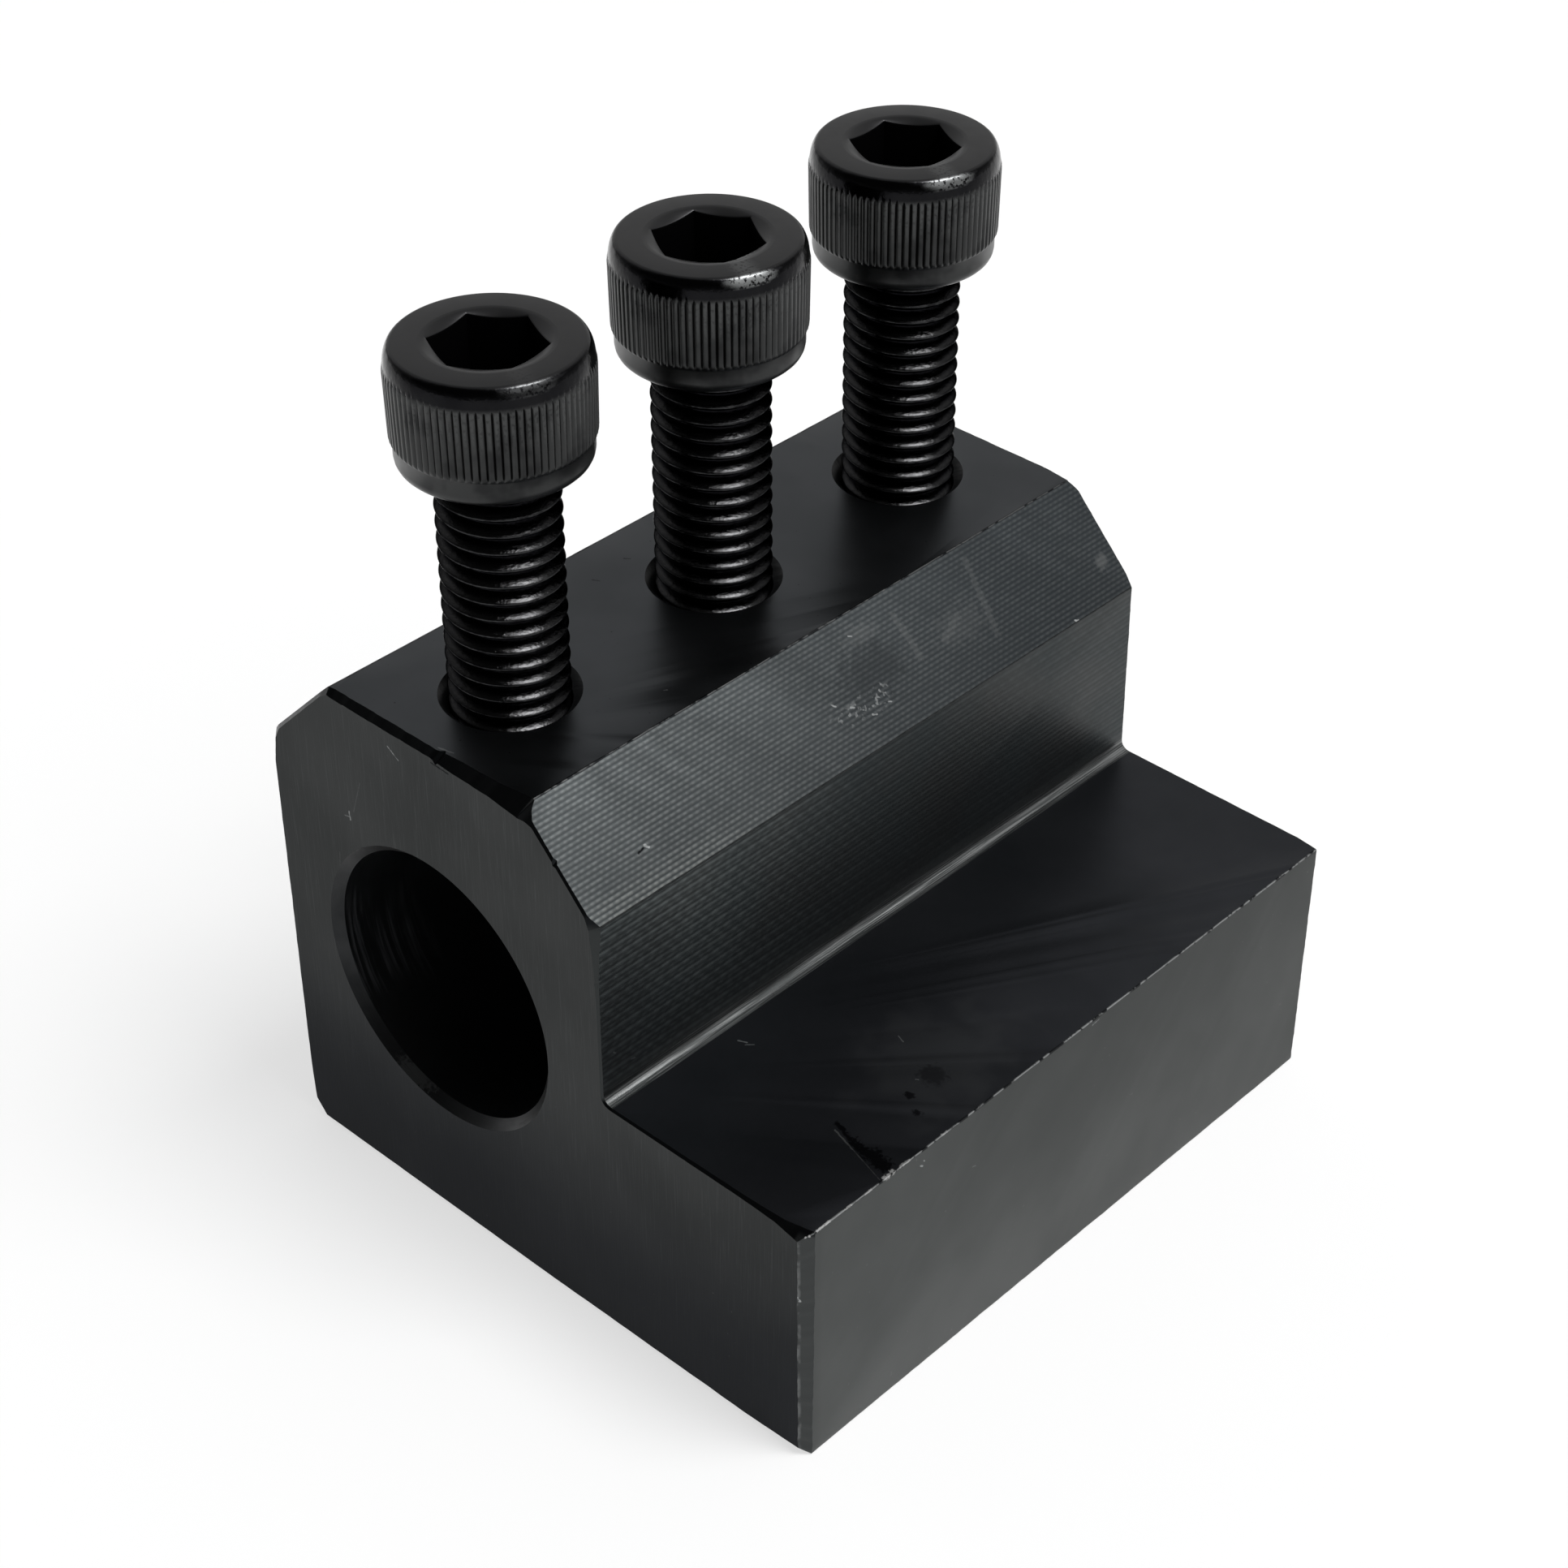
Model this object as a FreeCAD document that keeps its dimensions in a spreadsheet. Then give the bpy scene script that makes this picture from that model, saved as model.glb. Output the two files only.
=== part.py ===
import FreeCAD, Part
import os
import Sketcher

# Turret tool holder: a flanged steel block with a round bore for a tool shank, and three
# socket-head cap screws in a row over the bore, which clamp the shank.
# Millimetres. X runs across the block towards the flange, Y along the bore and Z up.
# The origin is at the middle of the underside.

SIZES = {
    # block outline, seen along the bore
    "block_width": 60.5,
    "block_height": 50.0,
    "block_length": 66.5,
    "riser_width": 38.5,
    "flange_height": 24.5,
    "back_chamfer": 8.0,
    "front_chamfer_across": 7.6,
    "front_chamfer_drop": 8.0,
    "heel_chamfer": 1.6,
    "step_fillet": 1.0,
    "end_break": 0.6,
    # tool bore, placed from the back of the riser and from the underside
    "bore_radius": 12.5,
    "bore_across": 19.0,
    "bore_height": 25.0,
    "bore_chamfer": 0.8,
    # row of tapped holes over the bore
    "screw_spacing": 23.25,
    "thread_clearance": 0.05,
    "countersink_width": 0.8,
    # cap screws
    "thread_radius": 4.95,
    "screw_length": 30.0,
    "screw_exposed": 21.4,
    "screw_turn": 36.0,
    "tip_chamfer": 1.0,
    "head_radius": 8.05,
    "head_height": 10.0,
    "shoulder_drop": 1.5,
    "shoulder_inset": 0.55,
    "collar_radius": 7.7,
    "collar_height": 2.1,
    "collar_chamfer": 0.7,
    "knurl_count": 66,
    "knurl_depth": 0.25,
    "knurl_width": 0.82,
    "hex_across_flats": 8.0,
    "hex_depth": 5.2,
    "socket_mouth_radius": 5.0,
}

# The names of the three screws, from the end face at low Y, and their places in the row
SCREWS = {"clamp_screw_front": -1, "clamp_screw_middle": 0, "clamp_screw_rear": 1}

ROUNDING = 0.001


def size_sheet(doc):
    """Put every driving size in the document's sheet, under its own alias."""
    sheet = doc.addObject("Spreadsheet::Sheet", "Sizes")
    for row, (alias, value) in enumerate(SIZES.items(), start=1):
        sheet.set("A%d" % row, alias)
        sheet.set("B%d" % row, str(value))
        sheet.setAlias("B%d" % row, alias)
    doc.recompute()
    return sheet


def linked(formula):
    """Turn a formula in plain size names into one that reads the sheet."""
    words = ["Sizes." + word if word in SIZES else word for word in formula.split()]
    return " ".join(words)


def total(formula):
    """Work out a sum of sizes, such as 'riser_width - crown_chamfer'."""
    result = 0.0
    sign = 1.0
    for word in formula.split():
        if word in "+-":
            sign = 1.0 if word == "+" else -1.0
        else:
            result += sign * (SIZES[word] if word in SIZES else float(word))
    return result


def bind(feature, formulas):
    """Tie properties of a feature to the sheet."""
    for prop, formula in formulas.items():
        feature.setExpression(prop, linked(formula))


def origin_part(body, role):
    """Find one of a body's own planes or axes."""
    return next(item for item in body.Origin.OriginFeatures if item.Role == role)


def new_body(doc, label):
    """Start a sub-part whose label is its node name."""
    body = doc.addObject("PartDesign::Body", label)
    body.Label = label
    return body


def pin_coordinate(sketch, kind, line, formula, axis):
    """Fix one coordinate of a line's start, on the axis or at a distance from it."""
    if formula == "0":
        sketch.addConstraint(Sketcher.Constraint("PointOnObject", line, 1, axis))
        return
    distance = Sketcher.Constraint(kind, -1, 1, line, 1, total(formula))
    index = sketch.addConstraint(distance)
    sketch.setExpression("Constraints[%d]" % index, linked(formula))


def polygon_sketch(body, name, role, corners):
    """Draw a closed outline whose corners are pairs of formulas."""
    sketch = body.newObject("Sketcher::SketchObject", name)
    sketch.AttachmentSupport = (origin_part(body, role), [""])
    sketch.MapMode = "FlatFace"
    points = [FreeCAD.Vector(total(across), total(up), 0) for across, up in corners]
    for start, end in zip(points, points[1:] + points[:1]):
        sketch.addGeometry(Part.LineSegment(start, end))
    for line in range(len(points)):
        follower = (line + 1) % len(points)
        sketch.addConstraint(Sketcher.Constraint("Coincident", line, 2, follower, 1))
    for line, (across, up) in enumerate(corners):
        pin_coordinate(sketch, "DistanceX", line, across, -2)
        pin_coordinate(sketch, "DistanceY", line, up, -1)
    return sketch


def edge_names(feature, wanted):
    """Name the edges of a feature that pass a test."""
    edges = enumerate(feature.Shape.Edges, start=1)
    return ["Edge%d" % number for number, edge in edges if wanted(edge)]


def near(value, target):
    return abs(value - target) < ROUNDING


def edge_feature(body, kind, name, base, wanted, formulas):
    """Chamfer or fillet the edges of a feature that pass a test."""
    feature = body.newObject(kind, name)
    feature.Base = (base, edge_names(base, wanted))
    bind(feature, formulas)
    body.Document.recompute()
    return feature


def primitive(body, kind, name, formulas, rotation=None):
    """Cut a primitive solid out of a body."""
    feature = body.newObject("PartDesign::Subtractive" + kind, name)
    if rotation is not None:
        feature.Placement = FreeCAD.Placement(FreeCAD.Vector(), rotation)
    bind(feature, formulas)
    return feature


def holder_block(doc):
    """The block: one milled and bored piece of bar with a flange and a row of tapped holes."""
    body = new_body(doc, "holder_block")
    outline = polygon_sketch(body, "block_outline", "XZ_Plane", [
        ("heel_chamfer", "0"),
        ("block_width", "0"),
        ("block_width", "flange_height"),
        ("riser_width", "flange_height"),
        ("riser_width", "block_height - front_chamfer_drop"),
        ("riser_width - front_chamfer_across", "block_height"),
        ("back_chamfer", "block_height"),
        ("0", "block_height - back_chamfer"),
        ("0", "heel_chamfer"),
    ])
    bar = body.newObject("PartDesign::Pad", "milled_bar")
    bar.Profile = outline
    bar.Reversed = True
    bind(bar, {"Length": "block_length"})
    doc.recompute()

    def in_step(edge):
        start = edge.Vertexes[0].Point
        end = edge.Vertexes[-1].Point
        middle = (start + end) * 0.5
        runs_along = not near(start.y, end.y)
        in_corner = near(middle.x, SIZES["riser_width"]) and near(middle.z, SIZES["flange_height"])
        return runs_along and in_corner

    stepped = edge_feature(body, "PartDesign::Fillet", "step_fillet", bar, in_step,
                           {"Radius": "step_fillet"})

    def on_end_face(edge):
        places = [vertex.Y for vertex in edge.Vertexes]
        at_front = all(near(place, 0.0) for place in places)
        at_back = all(near(place, SIZES["block_length"]) for place in places)
        return at_front or at_back

    broken = edge_feature(body, "PartDesign::Chamfer", "end_breaks", stepped, on_end_face,
                          {"Size": "end_break"})

    bore = primitive(body, "Cylinder", "tool_bore", {
        "Radius": "bore_radius",
        "Height": "block_length",
        "Placement.Base.x": "bore_across",
        "Placement.Base.z": "bore_height",
    }, FreeCAD.Rotation(FreeCAD.Vector(1, 0, 0), -90))
    doc.recompute()
    check_smaller(bore, broken)

    def at_bore_mouth(edge):
        if not isinstance(edge.Curve, Part.Circle) or not near(edge.Curve.Radius, SIZES["bore_radius"]):
            return False
        return near(edge.Curve.Center.y, 0.0) or near(edge.Curve.Center.y, SIZES["block_length"])

    edge_feature(body, "PartDesign::Chamfer", "bore_mouths", bore, at_bore_mouth,
                 {"Size": "bore_chamfer"})

    row_start = {
        "Placement.Base.x": "bore_across",
        "Placement.Base.y": "block_length / 2 - screw_spacing",
    }
    hole = primitive(body, "Cylinder", "tapped_hole", {
        "Radius": "thread_radius + thread_clearance",
        "Height": "block_height - bore_height",
        "Placement.Base.z": "bore_height",
        **row_start,
    })
    countersink = primitive(body, "Cone", "countersink", {
        "Radius1": "thread_radius + thread_clearance",
        "Radius2": "thread_radius + thread_clearance + countersink_width",
        "Height": "countersink_width",
        "Placement.Base.z": "block_height - countersink_width",
        **row_start,
    })
    doc.recompute()
    row = body.newObject("PartDesign::LinearPattern", "hole_row")
    row.Originals = [hole, countersink]
    row.Direction = (origin_part(body, "Y_Axis"), [""])
    row.Occurrences = len(SCREWS)
    bind(row, {"Length": "screw_spacing * %d" % (len(SCREWS) - 1)})
    body.Tip = row
    doc.recompute()
    check_smaller(row, countersink)
    bind(body, {
        "Placement.Base.x": "0 - block_width / 2",
        "Placement.Base.y": "0 - block_length / 2",
    })
    return body


def cap_screw(doc, label, place):
    """One cap screw: forged head with a knurled rim and a hexagon socket, threaded to the head.

    The thread is a plain cylinder here. Z is 0 at the underside of the head.
    """
    body = new_body(doc, label)
    profile = polygon_sketch(body, label + "_profile", "XZ_Plane", [
        ("0", "0 - screw_length"),
        ("thread_radius - tip_chamfer", "0 - screw_length"),
        ("thread_radius", "tip_chamfer - screw_length"),
        ("thread_radius", "0"),
        ("collar_radius - collar_chamfer", "0"),
        ("collar_radius", "collar_chamfer"),
        ("collar_radius", "collar_height"),
        ("head_radius", "collar_height"),
        ("head_radius", "head_height - shoulder_drop"),
        ("head_radius - shoulder_inset", "head_height"),
        ("0", "head_height"),
    ])
    turned = body.newObject("PartDesign::Revolution", label + "_turned")
    turned.Profile = profile
    turned.ReferenceAxis = (profile, ["V_Axis"])
    turned.Angle = 360
    doc.recompute()

    # One V groove, drawn to twice its depth so that it is knurl_width wide at the rim
    groove_sketch = polygon_sketch(body, label + "_groove", "XY_Plane", [
        ("head_radius - knurl_depth", "0"),
        ("head_radius + knurl_depth", "knurl_width"),
        ("head_radius + knurl_depth", "0 - knurl_width"),
    ])
    groove = body.newObject("PartDesign::Pocket", label + "_knurl_groove")
    groove.Profile = groove_sketch
    groove.Reversed = True
    bind(groove, {"Length": "head_height"})
    doc.recompute()
    check_smaller(groove, turned)
    knurl = body.newObject("PartDesign::PolarPattern", label + "_knurl")
    knurl.Originals = [groove]
    knurl.Axis = (origin_part(body, "Z_Axis"), [""])
    knurl.Angle = 360
    bind(knurl, {"Occurrences": "knurl_count"})
    body.Tip = knurl
    doc.recompute()

    primitive(body, "Prism", label + "_hexagon", {
        "Circumradius": "hex_across_flats / sqrt(3)",
        "Height": "hex_depth",
        "Placement.Base.z": "head_height - hex_depth",
    })
    mouth = primitive(body, "Cone", label + "_mouth", {
        "Radius1": "hex_across_flats / 2",
        "Radius2": "socket_mouth_radius",
        "Height": "( socket_mouth_radius - hex_across_flats / 2 ) / sqrt(3)",
        "Placement.Base.z": "head_height - ( socket_mouth_radius - hex_across_flats / 2 ) / sqrt(3)",
    })
    doc.recompute()
    check_smaller(mouth, knurl)
    bind(body, {
        "Placement.Base.x": "bore_across - block_width / 2",
        "Placement.Base.y": "screw_spacing * %d" % place,
        "Placement.Base.z": "block_height + screw_exposed",
        "Placement.Rotation.Angle": "screw_turn",
    })
    return body


def check_smaller(after, before):
    """Stop if a cut has removed nothing."""
    if after.Shape.Volume > before.Shape.Volume - ROUNDING:
        raise RuntimeError("%s cuts nothing" % after.Name)


def check_document(doc, bodies):
    """Stop if any feature failed or a sub-part isn't one valid solid."""
    for item in doc.Objects:
        if "Invalid" in item.State or "Error" in item.State:
            raise RuntimeError("%s failed: %s" % (item.Name, item.State))
    for body in bodies:
        shape = body.Shape
        if shape.isNull() or not shape.isValid() or len(shape.Solids) != 1:
            raise RuntimeError("%s isn't one valid solid" % body.Label)


def main():
    doc = FreeCAD.newDocument("turret_tool_holder")
    size_sheet(doc)
    bodies = [holder_block(doc)]
    for label, place in SCREWS.items():
        bodies.append(cap_screw(doc, label, place))
    doc.recompute()
    check_document(doc, bodies)
    os.makedirs("parts", exist_ok=True)
    for body in bodies:
        body.Shape.exportStep("parts/%s.step" % body.Label)
        print(body.Label, "volume", round(body.Shape.Volume, 1))


main()
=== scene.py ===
import math

import bpy
import numpy as np
from mathutils import Euler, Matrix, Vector, noise


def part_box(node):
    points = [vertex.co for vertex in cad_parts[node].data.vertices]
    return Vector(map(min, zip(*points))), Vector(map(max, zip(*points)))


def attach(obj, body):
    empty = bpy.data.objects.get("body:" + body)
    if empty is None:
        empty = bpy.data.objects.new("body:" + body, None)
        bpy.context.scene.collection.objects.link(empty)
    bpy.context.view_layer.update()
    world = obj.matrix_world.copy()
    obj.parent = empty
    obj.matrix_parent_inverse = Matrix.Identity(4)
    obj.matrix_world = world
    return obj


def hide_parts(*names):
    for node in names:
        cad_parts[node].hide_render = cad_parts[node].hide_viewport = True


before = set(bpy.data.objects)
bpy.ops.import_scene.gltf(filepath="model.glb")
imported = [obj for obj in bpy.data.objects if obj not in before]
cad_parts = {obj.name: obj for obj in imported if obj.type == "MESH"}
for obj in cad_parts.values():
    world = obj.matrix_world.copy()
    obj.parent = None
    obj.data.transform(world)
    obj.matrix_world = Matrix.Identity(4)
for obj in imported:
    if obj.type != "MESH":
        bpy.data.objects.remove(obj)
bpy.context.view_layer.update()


# The camera, where the photographer stood: to the right of the end face, looking down at it.
# All sizes in this file are in millimetres and become metres when a piece is made. X runs
# across the block towards the flange, Y along the bore and Z up.

MM = 0.001
CAMERA_AZIMUTH = 43.10
CAMERA_ELEVATION = 36.38
CAMERA_DISTANCE = 265.56
CAMERA_LOOKS_AT = Vector((-2.10, -1.17, 33.46))
CAMERA_LENS = 71.55
CAMERA_SENSOR = 36.0
CAMERA_NEAR = 10.0


def turned_to(azimuth, elevation):
    """The rotation of a camera or lamp that looks at the object from this direction."""
    return Euler((math.radians(90.0 - elevation), 0.0, math.radians(azimuth)))


camera_data = bpy.data.cameras.new("photo_camera")
camera_data.lens = CAMERA_LENS
camera_data.sensor_width = CAMERA_SENSOR
camera_data.clip_start = CAMERA_NEAR * MM
camera = bpy.data.objects.new("photo_camera", camera_data)
camera.rotation_euler = turned_to(CAMERA_AZIMUTH, CAMERA_ELEVATION)
back = camera.rotation_euler.to_matrix() @ Vector((0.0, 0.0, CAMERA_DISTANCE))
camera.location = (CAMERA_LOOKS_AT + back) * MM
bpy.context.collection.objects.link(camera)
bpy.context.scene.camera = camera


# The block is milled from one piece of steel bar, bored through, drilled and tapped in a row
# over the bore, and chemically blackened. Its edges are broken by hand with a file, so no two
# of them are alike, and the cutter left a thin burr along the flange.

FLANGE_HEIGHT = 24.5
RISER_WIDTH = 38.5
BACK_CHAMFER = 8.0
FRONT_CHAMFER_ACROSS = 7.6
FRONT_CHAMFER_DROP = 8.0
HEEL_CHAMFER = 1.6
STEP_FILLET = 1.0
BORE_ACROSS = 19.0
BORE_HEIGHT = 25.0
BORE_RADIUS = 12.5
BORE_CHAMFER = 0.8
HOLE_RADIUS = 5.0
HOLE_PITCH = 1.5
# One groove of the hole's thread, as (how far out, share of the pitch)
HOLE_GROOVE_SHAPE = [(0.0, 0.0), (0.55, 0.45), (0.0, 0.9)]
HOLE_COUNTERSINK = 0.8
SCREW_SPACING = 23.25
SCREW_ROW = (-1, 0, 1)

STATION_SPACING = 0.4
END_SPACING = 0.3
FILLET_STEPS = 8
BREAK_STEPS = 2
LEAST_BREAK = 0.05
CUT_CLEARANCE = 1.0
BORE_SEGMENTS = 192
HOLE_SEGMENTS = 96
HOLE_TURNS = 8
BLOCK_SHARP_ANGLE = 20.0
RUB_REACH = 0.75

# How far apart in the noise two seeds lie
SEED_STEP = (7.31, 1.7)
# How the filed breaks, the burr and the end edges waver, as (how much, over what length, seed).
# The last are counted in long edges, as below.
BREAK_WAVES = [(0.30, 2.6, 0), (0.25, 0.7, 20)]
BURR_WAVES = [(1.0, 1.1, 40), (0.5, 4.0, 60)]
BURR_BIAS = 0.15
END_WAVES = [(0.10, 0.11, 80), (0.08, 0.03, 90)]

block_low, block_high = [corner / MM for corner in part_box("holder_block")]
riser_face = block_low.x + RISER_WIDTH
bore_axis = block_low.x + BORE_ACROSS

# One line for each long edge, counter-clockwise seen from the end face: its place, how far it
# is broken, how high its burr stands, how much it rubs, and the finish of the face after it.
LONG_EDGES = [
    (Vector((block_low.x + HEEL_CHAMFER, 0.0)), 0.15, 0.0, 0.2, "satin"),
    (Vector((block_high.x, 0.0)), 0.22, 0.0, 0.3, "satin"),
    (Vector((block_high.x, FLANGE_HEIGHT)), 0.16, 0.10, 0.9, "flange"),
    (Vector((riser_face, FLANGE_HEIGHT)), STEP_FILLET, 0.0, 0.0, "riser"),
    (Vector((riser_face, block_high.z - FRONT_CHAMFER_DROP)), 0.09, 0.0, 0.05, "chamfer"),
    (Vector((riser_face - FRONT_CHAMFER_ACROSS, block_high.z)), 0.12, 0.05, 0.25, "crown"),
    (Vector((block_low.x + BACK_CHAMFER, block_high.z)), 0.20, 0.05, 0.2, "chamfer"),
    (Vector((block_low.x, block_high.z - BACK_CHAMFER)), 0.15, 0.0, 0.2, "satin"),
    (Vector((block_low.x, HEEL_CHAMFER)), 0.15, 0.0, 0.2, "satin"),
]
FILLET_EDGE = 3

# How far the end edges are broken, at places counted in long edges: 5.42 is 42% of the way
# from edge 5 to edge 6. The front has the filed band and the pit of the real one.
FRONT_BREAKS = [
    (0.0, 0.45), (0.5, 0.35), (0.9, 0.5), (1.0, 0.8), (1.3, 0.88), (1.9, 0.95), (2.0, 0.95),
    (2.12, 0.4), (2.3, 0.25), (2.9, 0.18), (3.0, 0.18), (3.4, 0.18), (3.67, 0.22), (3.685, 0.40),
    (3.70, 0.22), (3.85, 0.40), (4.0, 0.66), (4.10, 0.22), (4.53, 0.18), (4.55, 0.45), (4.57, 0.2),
    (4.88, 0.22), (4.95, 0.7), (5.0, 1.35), (5.12, 1.0), (5.3, 0.85), (5.40, 0.7), (5.415, 1.05),
    (5.43, 0.58), (5.98, 0.58), (6.0, 0.5), (6.1, 0.3), (6.9, 0.35), (7.0, 0.75), (7.06, 0.4),
    (7.9, 0.4), (8.0, 0.6), (9.0, 0.45),
]
BACK_BREAKS = [
    (0.0, 0.5), (1.0, 0.6), (2.0, 0.7), (2.1, 0.45), (3.0, 0.3), (4.0, 0.6), (4.1, 0.4),
    (4.9, 0.4), (5.0, 0.9), (5.1, 0.6), (5.9, 0.5), (6.0, 0.8), (6.1, 0.5), (7.0, 0.7),
    (7.1, 0.4), (9.0, 0.5),
]


def wander(place, size, seed):
    """Smooth noise along a line, from -1 to 1, that changes over about this size."""
    across, up = SEED_STEP
    return noise.noise(Vector((place / size, seed * across, seed * up)))


def waver(place, waves, seed=0):
    """Several wanders added up."""
    return sum(amount * wander(place, size, seed + extra) for amount, size, extra in waves)


def corner_points(corner, before, after, reach, steps):
    """Points that round a corner between two directions, tangent to both."""
    start = corner - before * reach
    end = corner + after * reach
    shares = [step / steps for step in range(steps + 1)]
    return [start * (1 - s) ** 2 + corner * 2 * s * (1 - s) + end * s * s for s in shares]


def edge_frame(number):
    """A long edge's place, the directions of the faces before and after it, and the inward
    step that keeps one distance from both faces."""
    places = [edge[0] for edge in LONG_EDGES]
    corner = places[number]
    before = (corner - places[number - 1]).normalized()
    after = (places[(number + 1) % len(places)] - corner).normalized()
    in_before = Vector((-before.y, before.x))
    in_after = Vector((-after.y, after.x))
    inward = (in_before + in_after) / (1 + in_before.dot(in_after))
    return corner, before, after, inward


def long_edge_points(number, y):
    """The section of one long edge at a place along the block, with its wavy break and burr."""
    corner, before, after, _ = edge_frame(number)
    _, size, burr, _, _ = LONG_EDGES[number]
    if number == FILLET_EDGE:
        return corner_points(corner, before, after, size, FILLET_STEPS)
    reach = size * (1 + waver(y, BREAK_WAVES, number))
    section = corner_points(corner, before, after, reach, BREAK_STEPS)
    lift = burr * max(0.0, waver(y, BURR_WAVES, number) + BURR_BIAS)
    section[1] = section[1] + Vector((0.0, lift))
    return section


def end_leg(breaks, place):
    """How far an end edge is broken at a place counted in long edges."""
    leg = np.interp(place, [row[0] for row in breaks], [row[1] for row in breaks])
    return leg * (1 + waver(place, END_WAVES))


def end_reach(number, leg):
    """How far a long edge's corner is rounded on the end face."""
    size = LONG_EDGES[number][1]
    return size + leg if number == FILLET_EDGE else max(size - leg, LEAST_BREAK)


def end_rings(breaks, face_y, inside):
    """The two rings of a broken end edge: where it leaves the long faces, and on the end face.

    Each entry of a ring is (long edge number, whether it is on that edge, x, y, z).
    """
    outer = []
    inner = []
    count = len(LONG_EDGES)
    legs = [end_leg(breaks, number) for number in range(count)]
    for number in range(count):
        corner, before, after, inward = edge_frame(number)
        y = face_y + inside * legs[number]
        section = long_edge_points(number, y)
        reach = end_reach(number, legs[number])
        on_end = corner_points(corner + inward * legs[number], before, after, reach, len(section) - 1)
        outer += [(number, True, p.x, y, p.y) for p in section]
        inner += [(number, True, p.x, face_y, p.y) for p in on_end]

        follower = (number + 1) % count
        next_corner, next_before, _, next_inward = edge_frame(follower)
        next_section = long_edge_points(follower, face_y + inside * legs[follower])
        next_reach = end_reach(follower, legs[follower])
        end_start = on_end[-1]
        end_finish = next_corner + next_inward * legs[follower] - next_before * next_reach
        inward_here = Vector((-after.y, after.x))
        length = (next_section[0] - section[-1]).length
        pieces = max(2, round(length / END_SPACING))
        for piece in range(1, pieces):
            share = piece / pieces
            leg = end_leg(breaks, number + share)
            plain_leg = legs[number] * (1 - share) + legs[follower] * share
            on_face = section[-1].lerp(next_section[0], share)
            on_end_face = end_start.lerp(end_finish, share) + inward_here * (leg - plain_leg)
            outer.append((number, False, on_face.x, face_y + inside * leg, on_face.y))
            inner.append((number, False, on_end_face.x, face_y, on_end_face.y))
    return outer, inner


def make_piece(name, points, faces, finishes, materials):
    """Make an object from points in millimetres, with one finish for each face."""
    mesh = bpy.data.meshes.new(name)
    mesh.from_pydata([tuple(c * MM for c in point) for point in points], [], faces)
    mesh.validate()
    for material in materials.values():
        mesh.materials.append(material)
    order = list(materials)
    mesh.polygons.foreach_set("material_index", [order.index(finish) for finish in finishes])
    mesh.shade_smooth()
    mesh.update()
    piece = bpy.data.objects.new(name, mesh)
    bpy.context.collection.objects.link(piece)
    return piece


def block_body():
    """Points, faces and finishes of the block before it is bored and drilled."""
    points = []
    faces = []
    finishes = []

    def store(point):
        points.append(point)
        return len(points) - 1

    def add_face(corners, finish):
        faces.append(corners)
        finishes.append(finish)

    def store_ring(ring):
        return [(number, on_edge, store((x, y, z))) for number, on_edge, x, y, z in ring]

    front_outer, front_inner = map(store_ring, end_rings(FRONT_BREAKS, block_low.y, 1))
    back_outer, back_inner = map(store_ring, end_rings(BACK_BREAKS, block_high.y, -1))

    def on_edge(ring, number):
        return [index for edge, here, index in ring if here and edge == number]

    def past_edge(ring, number):
        return [index for edge, here, index in ring if not here and edge == number]

    inset = max(leg for _, leg in FRONT_BREAKS) + STATION_SPACING
    length = block_high.y - block_low.y - 2 * inset
    stations = np.linspace(0, length, round(length / STATION_SPACING) + 1) + block_low.y + inset
    strips = []
    for number in range(len(LONG_EDGES)):
        rows = [on_edge(front_outer, number)]
        for y in stations:
            section = long_edge_points(number, y)
            rows.append([store((point.x, y, point.y)) for point in section])
        rows.append(on_edge(back_outer, number))
        strips.append(rows)

    for number, rows in enumerate(strips):
        finish = "fillet" if number == FILLET_EDGE else "filed"
        for row, next_row in zip(rows, rows[1:]):
            for place in range(len(row) - 1):
                add_face((row[place], next_row[place], next_row[place + 1], row[place + 1]), finish)
        following = strips[(number + 1) % len(strips)]
        outline = [row[-1] for row in rows]
        outline += past_edge(back_outer, number)
        outline += [row[0] for row in reversed(following)]
        outline += reversed(past_edge(front_outer, number))
        add_face(outline, LONG_EDGES[number][4])

    for outer, inner, at_front in ((front_outer, front_inner, True), (back_outer, back_inner, False)):
        outer = [index for _, _, index in outer]
        inner = [index for _, _, index in inner]
        for place in range(len(outer)):
            after = (place + 1) % len(outer)
            quad = (outer[place], outer[after], inner[after], inner[place])
            add_face(quad if at_front else quad[::-1], "filed")
        add_face(inner if at_front else inner[::-1], "ground")
    return points, faces, finishes


def lathe(profile, segments):
    """Points and faces of a closed solid turned about Z, from (radius, height) pairs."""
    points = []
    for radius, height in profile:
        for segment in range(segments):
            angle = 2 * math.pi * segment / segments
            points.append((radius * math.cos(angle), radius * math.sin(angle), height))
    faces = []
    for row in range(len(profile) - 1):
        for segment in range(segments):
            after = (segment + 1) % segments
            low = row * segments
            faces.append((low + segment, low + after, low + segments + after, low + segments + segment))
    faces.append(tuple(reversed(range(segments))))
    last = (len(profile) - 1) * segments
    faces.append(tuple(range(last, last + segments)))
    return points, faces


def cut(piece, tool):
    """Cut a tool's shape out of a piece, and throw the tool away."""
    boolean = piece.modifiers.new("cut", "BOOLEAN")
    boolean.object = tool
    boolean.operation = "DIFFERENCE"
    boolean.solver = "EXACT"
    with bpy.context.temp_override(object=piece, active_object=piece):
        bpy.ops.object.modifier_apply(modifier="cut")
    bpy.data.objects.remove(tool)


def node(tree, kind, inputs=None, **settings):
    """Add a shader node. An input that is a socket is linked, and anything else is a value."""
    made = tree.nodes.new(kind)
    for key, value in settings.items():
        setattr(made, key, value)
    for key, value in (inputs or {}).items():
        if isinstance(value, bpy.types.NodeSocket):
            tree.links.new(value, made.inputs[key])
        else:
            made.inputs[key].default_value = value
    return made


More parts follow.
